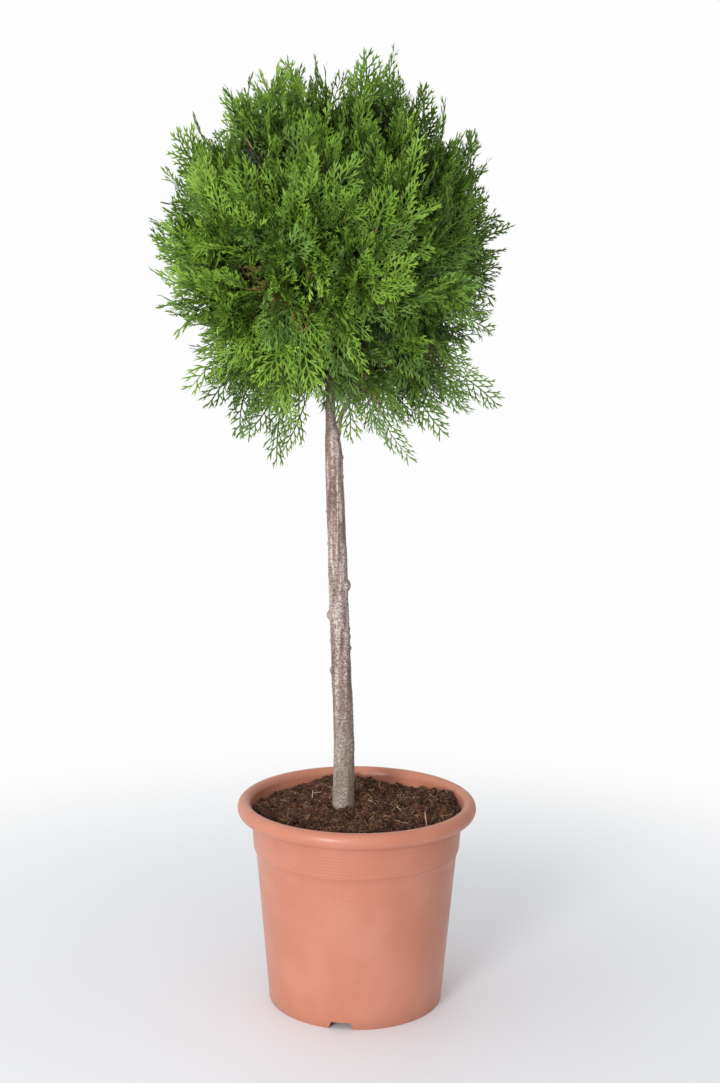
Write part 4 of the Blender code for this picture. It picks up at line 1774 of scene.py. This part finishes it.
@dataclass
class Crown:
    """The ball of foliage: twigs from each bough's tip, leafy shoots, and fronds on them."""

    TINTS = (Tint.INNER, Tint.DEEP, Tint.GREEN, Tint.BRIGHT, Tint.FRESH)

    rule: CrownRule
    stem: Stem
    kinds: tuple = (
        ShootKind("outer", 7, 0.0080, 0.0, 0.22, count=470, shares=(0.93, 1.05), lowest=-66,
                  clump=4, scatter=0.095),
        # inner shoots get a much darker tone: partly older foliage, partly painted shade of the
        # crown's inside
        ShootKind("inner", 6, 0.0085, -1.8, 0.50, count=200, shares=(0.60, 0.80), lowest=-60),
    )
    loose: ShootKind = ShootKind("loose", 6, 0.0125, -0.35, 0.25, count=42, shares=(0.90, 1.10))
    long: ShootKind = ShootKind("long", 6, 0.0120, -0.75, 0.10)
    ranges: FrondRanges = FrondRanges()
    long_sprays: tuple = (
        (-8, -40, 0.264), (-24, -48, 0.248), (-30, -67, 0.256), (-62, -72, 0.232),
        (12, -42, 0.236), (-14, -56, 0.242), (-168, -44, 0.212), (172, -52, 0.222),
        (-132, -70, 0.242), (-160, -60, 0.232), (-178, -66, 0.232), (-150, -76, 0.236),
        (-46, -80, 0.214), (-30, -84, 0.204),
        (4, 71, 0.232), (150, 86, 0.216), (172, 62, 0.208), (60, -62, 0.236),
        (108, -50, 0.226), (140, -68, 0.230), (84, -80, 0.218), (52, -82, 0.212),
    )
    swells: tuple = (
        (180, 72, 6, -0.09), (184, 62, 7, 0.06), (2, 64, 12, -0.01), (-4, -16, 16, -0.12),
        (-172, -38, 10, -0.06), (180, 8, 12, -0.07), (0, 24, 12, 0.09), (-90, 0, 34, -0.05),
        (90, 0, 34, -0.05), (180, -20, 9, 0.07), (180, 38, 7, -0.08), (184, 51, 8, 0.07),
    )
    opening: tuple[float, float, float] = (-0.017, 0.014, 0.704)
    fork_height: float = 0.665
    lift_heights: tuple = (-0.95, -0.5, -0.1, 0.5, 1.0)
    lifts: tuple = (0.08, 0.14, 0.22, 0.72, 0.3)
    tones: ToneRule = ToneRule()
    cool_shares: tuple = ((-0.2, 0.55), (0.1, 0.32), (2.0, 0.12))
    sparse_below: float = -0.30
    sparse_share: float = 0.35
    loose_elevations: tuple[float, float] = (-74, -24)
    bare_share: float = 0.14
    bare_fronds: int = 3
    dry_share: float = 0.20
    dry_from: int = 4
    loose_droop: float = 0.5
    upright: float = 0.9
    upright_room: float = 0.2
    hang: float = 2.2
    tip_room: float = 0.05
    turn_out: float = 0.4
    rolls: tuple[float, float] = (0.7, 0.3)
    deepest: float = 0.66
    trunk_room: float = 0.015
    shoots_a_fork: int = 4
    fork_share: float = 0.55
    sags: tuple[float, float] = (0.006, 0.005)
    twig_steps: int = 5
    limb_radii: tuple[float, float] = (0.0026, 0.0018)
    twig_radii: tuple[float, float] = (0.0016, 0.0007)
    seed: int = 33
    twig_wood: WoodyFinish = WoodyFinish("twig_wood", linear(134, 100, 76), linear(166, 130, 104))

    def clumps(self, kind: ShootKind, rng: Rng) -> list[tuple[Array, float, Array]]:
        """Groups of shoots that share a lean, evenly set above the kind's lowest elevation.

        Args:
            kind: what sort of shoot.
            rng: where the draws come from.

        Returns:
            For each shoot its direction, its group's length share and its group's lean.
        """
        count = kind.count // kind.clump
        rows = []
        for i in range(count):
            z = 1 - (1 - math.sin(math.radians(kind.lowest))) * (i + 0.5) / count
            flat, azimuth = math.sqrt(1 - z * z), i * GOLDEN_ANGLE
            middle = np.array([flat * math.cos(azimuth), flat * math.sin(azimuth), z])
            share, lean = rng.uniform(0.96, 1.03), rng.normal(0, 0.08, 3)
            for _ in range(kind.clump):
                way = middle + rng.normal(0, kind.scatter, 3)
                rows.append((way / np.linalg.norm(way), share, lean))
        return rows

    def reach(self, way: Array) -> float:
        """The rule's reach, with the tufts and dents that break its even outline.

        Args:
            way: a unit vector.

        Returns:
            The distance from the centre.
        """
        share = 1.0
        for azimuth, elevation, width, rise in self.swells:
            aim = np.array(self.rule.direction(azimuth, elevation))
            angle = math.degrees(math.acos(float(np.clip(np.dot(aim, way), -1, 1))))
            share += rise * math.exp(-((angle / width) ** 2))
        return share * self.rule.reach(Vector(way))

    def build(self) -> None:
        """Grows twigs and fronds mass by mass, and makes them pieces by tint."""
        rng = np.random.default_rng(self.seed)
        masses = self.rule.masses()
        for mass in masses:
            mass.bough = self.rule.bough(mass, self.stem)
        aims = np.array([mass.aim for mass in masses])
        places: list[FrondPlace] = []
        paths: list[tuple[int, Array]] = []
        for kind, way, length, lean in self.wanted(rng):
            path, fronds = self.shoot(kind, way, length, lean, rng)
            if fronds:
                places += fronds
                paths.append((int(np.argmax(aims @ way)), path))
        twigs = JoinedMesh("twigs")
        for number, mass in enumerate(masses):
            self.branch(mass, [path for owner, path in paths if owner == number], twigs, rng)
        self.leaf_pieces(places)
        twigs.deliver(self.twig_wood.material(), "bark")

    def wanted(self, rng: Rng) -> list[tuple[ShootKind, Array, float, Array]]:
        """Every shoot's kind, direction from the crown's centre, reach and lean.

        Args:
            rng: where the draws come from.

        Returns:
            One row for each shoot.
        """
        rows = []
        for kind in self.kinds:
            for way, share, lean in self.clumps(kind, rng):
                low = way[2] < self.sparse_below and kind.name == "outer"
                if not (low and rng.random() < self.sparse_share):
                    length = self.reach(way) * share * rng.uniform(*kind.shares)
                    rows.append((kind, way, length, lean))
        for i in range(self.loose.count):
            azimuth = i * 360 / self.loose.count + rng.uniform(-8, 8)
            elevation = rng.uniform(*self.loose_elevations)
            way = np.array(self.rule.direction(azimuth, elevation))
            length = self.reach(way) * rng.uniform(*self.loose.shares)
            rows.append((self.loose, way, length, np.zeros(3)))
        for azimuth, elevation, length in self.long_sprays:
            way = np.array(self.rule.direction(azimuth, elevation))
            rows.append((self.long, way, length, np.zeros(3)))
        return rows

    def habit(self, kind: ShootKind, way: Array, rng: Rng) -> Habit:
        """The habit that suits a shoot: feathers above, fans all round, loose ones below.

        Args:
            kind: what sort of shoot.
            way: its direction from the centre.
            rng: where the draws come from.

        Returns:
            The habit.
        """
        draw = rng.random()
        if kind.name == "inner":
            return Habit.SHORT
        if kind.name == "loose" or (kind.name == "long" and way[2] < 0):
            return Habit.LOOSE
        if way[2] < -0.25:
            return Habit.LOOSE if draw < 0.5 else Habit.FAN
        return Habit.FEATHER if draw < 0.20 + 0.35 * max(float(way[2]), 0) else Habit.FAN

    def heading(self, kind: ShootKind, way: Array, length: float, lean: Array, rng: Rng) -> Array:
        """Which way a shoot grows: outwards and up, and not from too deep inside.

        Args:
            kind: what sort of shoot.
            way: its direction from the centre.
            length: its reach.
            lean: what its group adds.
            rng: where the draws come from.

        Returns:
            A unit vector.
        """
        lift = float(np.interp(way[2], self.lift_heights, self.lifts))
        heading = way + [0, 0, lift] + lean + rng.normal(0, kind.spread, 3)
        heading /= np.linalg.norm(heading)
        depth = kind.fronds * kind.pitch + self.tip_room
        for _ in range(4):
            if np.linalg.norm(way * length - heading * depth) > self.deepest * length:
                heading += self.turn_out * way
                heading /= np.linalg.norm(heading)
        return heading

    def facing(self, kind: ShootKind, way: Array, heading: Array, rng: Rng) -> Array:
        """Which way a shoot's flat side looks: mostly out of the crown, or up on a long one.

        Args:
            kind: what sort of shoot.
            way: its direction from the centre.
            heading: which way it grows.
            rng: where the draws come from.

        Returns:
            A unit vector across the heading.
        """
        out = way - heading * float(np.dot(way, heading))
        if np.linalg.norm(out) < 0.15:
            out = np.cross(heading, rng.normal(0, 1, 3))
        out /= np.linalg.norm(out)
        roll = rng.normal(0, self.rolls[0])
        if kind is self.long:
            out, roll = np.cross(heading, [0, 0, 1]), rng.normal(0, self.rolls[1])
            out /= np.linalg.norm(out)
        return out * math.cos(roll) + np.cross(heading, out) * math.sin(roll)

    def own_tint(self, kind: ShootKind, way: Array, rng: Rng) -> Tint | None:
        """A cool or a dry tint for some shoots, and None for those that follow their tone.

        Args:
            kind: what sort of shoot.
            way: its direction from the centre.
            rng: where the draws come from.

        Returns:
            The tint, or None.
        """
        cool = next(share for height, share in self.cool_shares if way[2] < height)
        own = Tint.COOL if rng.random() < cool else None
        if kind.name == "inner" and rng.random() < self.dry_share:
            own = Tint.DRY
        return own

    def shoot(self, kind: ShootKind, way: Array, length: float, lean: Array,
              rng: Rng) -> tuple[Array, list[FrondPlace]]:
        """One leafy shoot that ends at its reach.

        Args:
            kind: what sort of shoot.
            way: its direction from the crown's centre.
            length: how far from the centre its last frond ends.
            lean: what its group adds to its heading.
            rng: where the draws come from.

        Returns:
            The shoot's own path from base to tip, and its fronds.
        """
        heading = self.heading(kind, way, length, lean, rng)
        habit = self.habit(kind, way, rng)
        shapes = FRONDS[habit]
        face = self.facing(kind, way, heading, rng)
        droop = self.loose_droop
        if habit is not Habit.LOOSE:
            droop = -self.upright * max(0.0, float(way[2]) + self.upright_room)
        last = int(rng.integers(len(shapes)))
        tip = np.array(self.rule.centre) + way * length - heading * shapes[last].length
        behind = np.arange(kind.fronds) * kind.pitch
        back = behind[:, None]
        nodes = tip - back * heading + self.hang * droop * back**2 * [0, 0, -1]
        tone = self.tones.shoot(kind.tone, way, rng)
        own = self.own_tint(kind, way, rng)
        outer = kind.name == "outer"
        leafy = kind.fronds
        if outer and way[2] < 0.1 and rng.random() < self.bare_share:
            leafy -= self.bare_fronds
        dry_foot = outer and way[2] < 0.2 and rng.random() < self.dry_share
        fronds = []
        for k in range(leafy):
            number = int(rng.integers(len(shapes))) if k else last
            tint = Tint.DRY if dry_foot and k >= self.dry_from else own
            place = self.frond(nodes[k], heading, face, habit, number, k, droop, tone, tint, rng)
            if self.clear_of_trunk(place):
                fronds.append(place)
        return nodes[::-1], fronds

    def frond(self, root: Array, heading: Array, face: Array, habit: Habit,
              number: int, k: int, droop: float, tone: float, tint: Tint | None,
              rng: Rng) -> FrondPlace:
        """One frond of a shoot: the last goes on straight, the others leave by turns.

        Args:
            root: where it leaves the shoot.
            heading: the shoot's own heading.
            face: which way the shoot's flat side looks.
            habit: the shoot's habit.
            number: which of the habit's fronds.
            k: its place on the shoot, counted from the end.
            droop: how much the shoot hangs.
            tone: the shoot's tone.
            tint: its own tint, or None to follow the tone.
            rng: where the draws come from.

        Returns:
            The frond's place.
        """
        ranges = self.ranges
        side = (1 if k % 2 else -1) if k else 0
        angle = side * rng.normal(*ranges.angle)
        tilt = rng.normal(*ranges.tilt)
        across = np.cross(face, heading)
        along = heading * math.cos(angle) + across * math.sin(angle) + face * tilt
        along /= np.linalg.norm(along)
        turned = face - along * float(np.dot(face, along))
        turned /= np.linalg.norm(turned)
        size = rng.uniform(*ranges.size) * (ranges.side_size + ranges.side_step * k if k else 1.0)
        return FrondPlace(
            root, along, turned, habit, number, size, bend=rng.normal(*ranges.bend),
            cup=rng.normal(*ranges.cup), sweep=-side * rng.uniform(*ranges.sweep),
            lift=-droop * rng.uniform(*ranges.lift), tone=self.tones.frond(tone, k, rng),
            own=tint)

    def clear_of_trunk(self, place: FrondPlace) -> bool:
        """Whether a frond keeps out of the trunk, and out of the opening before its top.

        Args:
            place: the frond's place.

        Returns:
            True where it may stay.
        """
        length = FRONDS[place.habit][place.number].length * place.size
        left, right, top = self.opening
        for share in (0.0, 0.5, 1.0):
            spot = place.root + place.along * length * share
            rows = self.stem.leader if spot[2] > self.fork_height else self.stem.trunk
            axis, _ = self.stem.at_height(rows, float(spot[2]))
            if math.hypot(spot[0] - axis.x, spot[1] - axis.y) < self.trunk_room:
                return False
            if spot[1] < axis.y and spot[2] < top and left < spot[0] - axis.x < right:
                return False
        return True

    def branch(self, mass: Mass, paths: list[Array], twigs: JoinedMesh, rng: Rng) -> None:
        """Joins a mass's bough tip to each of its shoots by forking twigs.

        Args:
            mass: the mass, with its bough.
            paths: the paths of its shoots, from base to tip.
            twigs: the joined mesh that takes the twigs.
            rng: where the draws come from.
        """
        if not paths:
            return
        root = np.array(mass.bough[-1][0])
        bases = np.array([path[0] for path in paths])
        seeds = bases[::self.shoots_a_fork]
        nearest = np.argmin(np.linalg.norm(bases[:, None] - seeds[None], axis=2), axis=1)
        for k in range(len(seeds)):
            members = [path for path, owner in zip(paths, nearest) if owner == k]
            if not members:
                continue
            middle = np.mean([path[0] for path in members], axis=0)
            fork = root + self.fork_share * (middle - root)
            limb = self.curved(root, fork, self.sags[0], rng)
            twigs.add(*tube_arrays(limb, np.linspace(*self.limb_radii, len(limb)), 4))
            for path in members:
                link = self.curved(fork, path[0], self.sags[1], rng)
                whole = np.concatenate([link, path[1:]])
                twigs.add(*tube_arrays(whole, np.linspace(*self.twig_radii, len(whole)), 3))

    def curved(self, start: Array, end: Array, sag: float, rng: Rng) -> Array:
        """A path between two places that sags a little and sways.

        Args:
            start: one end.
            end: the other.
            sag: how far its middle hangs.
            rng: where the draws come from.

        Returns:
            (steps, 3) places.
        """
        share = np.linspace(0, 1, self.twig_steps)[:, None]
        sway = rng.normal(0, 0.5 * sag, 3) - [0, 0, sag]
        return start + (end - start) * share + 4 * share * (1 - share) * sway

    def leaf_pieces(self, places: list[FrondPlace]) -> None:
        """Copies each frond's shape to its places and joins them by tint.

        Args:
            places: where every frond goes.
        """
        joined = {tint: JoinedMesh(tint.value.name.replace("leaf", "sprays")) for tint in Tint}
        groups: dict[tuple[Habit, int, int, Tint | None], list[FrondPlace]] = {}
        for place in places:
            level = int(np.clip(round(place.tone), 0, 3))
            own = None if place.own is Tint.COOL and level not in (1, 2) else place.own
            groups.setdefault((place.habit, place.number, level, own), []).append(place)
        for (habit, number, level, own), members in groups.items():
            points, faces = FRONDS[habit][number].arrays()
            placed = self.placed(points, members)
            joined[self.TINTS[max(level - 1, 1) if level else 0]].add(placed, faces[0])
            joined[own or self.TINTS[level]].add(placed, faces[1])
            joined[self.TINTS[level + 1 if level else 0]].add(placed, faces[2])
        nodes = sorted(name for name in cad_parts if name.startswith("foliage"))
        for tint, mesh in joined.items():
            mesh.deliver(tint.value.material(), "foliage", *nodes)

    @staticmethod
    def placed(points: Array, members: list[FrondPlace]) -> Array:
        """Bends, cups, turns and moves one shape to each of its places.

        Args:
            points: the shape's own points.
            members: where it goes.

        Returns:
            (copies, points, 3) places.
        """
        size, bend, cup, sweep, lift = (
            np.array([getattr(place, name) for place in members])[:, None]
            for name in ("size", "bend", "cup", "sweep", "lift"))
        root, along, face = (np.array([getattr(place, name) for place in members])
                             for name in ("root", "along", "face"))
        across = np.cross(face, along)
        x, y = points[None, :, 0] * size, points[None, :, 1] * size
        z = points[None, :, 2] * size - bend * x**2 + cup * y**2
        y = y + sweep * x**2
        spots = (root[:, None] + x[..., None] * along[:, None]
                 + y[..., None] * across[:, None] + z[..., None] * face[:, None])
        spots[..., 2] += lift * x**2
        return spots


# ---------------- studio


@dataclass
class Studio:
    """A pale floor that fades into a white surround, soft light, and the camera."""

    floor_half: float = 3.2
    floor_fade: tuple[float, float] = (0.32, 1.15)
    floor_colour: Colour = linear(234, 236, 241)
    surround: float = 0.985
    sky: tuple[float, float] = (0.80, 0.94)
    far_side: float = 0.66
    key_place: tuple[float, float, float] = (-1.15, -2.5, 0.85)
    key_aim: tuple[float, float, float] = (0.0, 0.0, 0.60)
    key_power: float = 49.0
    key_size: float = 0.7
    camera_place: tuple[float, float, float] = (0.0009, -1.8282, 0.8049)
    camera_pitch: float = 0.14198
    camera_roll: float = 0.00905
    focal_pixels: float = 1613.0
    picture_height: float = 1083.0
    sensor: float = 36.0

    def floor(self) -> None:
        """The floor, which isn't part of the object."""
        deselect_all()
        bpy.ops.mesh.primitive_circle_add(vertices=96, radius=self.floor_half,
                                          fill_type="NGON", location=(0, 0, 0))
        floor = bpy.context.object
        floor.name = "floor"
        material, nodes, shader = new_material("floor_paint", 0.55, 0.25)
        place = nodes.place()
        shade = MOTTLE.use(nodes, place, Scale=2.0, Detail=2.0, Low=0.3, High=0.7)
        paler = tuple(min(1.0, 1.02 * c) for c in self.floor_colour[:3]) + (1.0,)
        far = nodes.add("ShaderNodeVectorMath", operation="LENGTH")
        nodes.join(far.inputs[0], place)
        kept = nodes.ranged(far.outputs["Value"], *self.floor_fade, 1.0, 0.0)
        nodes.feed(shader, Base_Color=nodes.mix(shade, self.floor_colour, paler), Alpha=kept)
        dress(floor, material)

    def sky_light(self) -> None:
        """A soft sky, brighter overhead, that the camera sees as plain white."""
        world = bpy.data.worlds.new("studio")
        bpy.context.scene.world = world
        world.use_nodes = True
        nodes = Nodes(world.node_tree)
        background = world.node_tree.nodes["Background"]
        background.inputs["Color"].default_value = (1, 1, 1, 1)
        parts = nodes.add("ShaderNodeSeparateXYZ")
        nodes.feed(parts, Vector=nodes.add("ShaderNodeTexCoord").outputs["Generated"])
        soft = nodes.ranged(parts.outputs["Z"], -0.1, 0.9, *self.sky)
        dimmer = nodes.ranged(parts.outputs["X"], -0.3, 0.9, 1.0, self.far_side)
        soft = nodes.maths("MULTIPLY", soft, dimmer)
        seen = nodes.add("ShaderNodeLightPath").outputs["Is Camera Ray"]
        strength = nodes.add("ShaderNodeMix", data_type="FLOAT")
        for index, value in ((0, seen), (2, soft), (3, self.surround)):
            nodes.join(strength.inputs[index], value)
        nodes.feed(background, Strength=strength.outputs[0])

    def key_light(self) -> None:
        """A large lamp a little left of the camera and above the crown."""
        bpy.ops.object.light_add(type="AREA", location=self.key_place)
        lamp = bpy.context.object
        lamp.name = "key"
        lamp.data.energy = self.key_power
        lamp.data.size = self.key_size
        aim = Vector(self.key_aim) - Vector(self.key_place)
        lamp.rotation_euler = aim.to_track_quat("-Z", "Y").to_euler()

    def camera(self) -> None:
        """The camera, level with the crown and looking a little down."""
        data = bpy.data.cameras.new("camera")
        camera = bpy.data.objects.new("camera", data)
        bpy.context.scene.collection.objects.link(camera)
        data.sensor_width = self.sensor
        data.lens = self.sensor * self.focal_pixels / self.picture_height
        data.clip_start = 0.05
        camera.matrix_world = (
            Matrix.Translation(self.camera_place)
            @ Matrix.Rotation(math.pi / 2 - self.camera_pitch, 4, "X")
            @ Matrix.Rotation(self.camera_roll, 4, "Z")
        )
        bpy.context.scene.camera = camera

    def build(self) -> None:
        """Sets up the floor, the lights, the camera and a plain colour view."""
        self.floor()
        self.sky_light()
        self.key_light()
        self.camera()
        bpy.context.scene.view_settings.view_transform = "Standard"


def main() -> None:
    """Builds every sub-assembly in turn."""
    logging.basicConfig(level=logging.INFO, format="%(name)s: %(message)s")
    pot = Pot()
    pot.build()
    Soil(pot).build()
    rule, stem = CrownRule(), Stem()
    boughs = [rule.bough(mass, stem) for mass in rule.masses() if mass.name != "top"]
    stem.build(boughs)
    Crown(rule, stem).build()
    Studio().build()
    deselect_all()


if __name__ == "__main__":
    main()
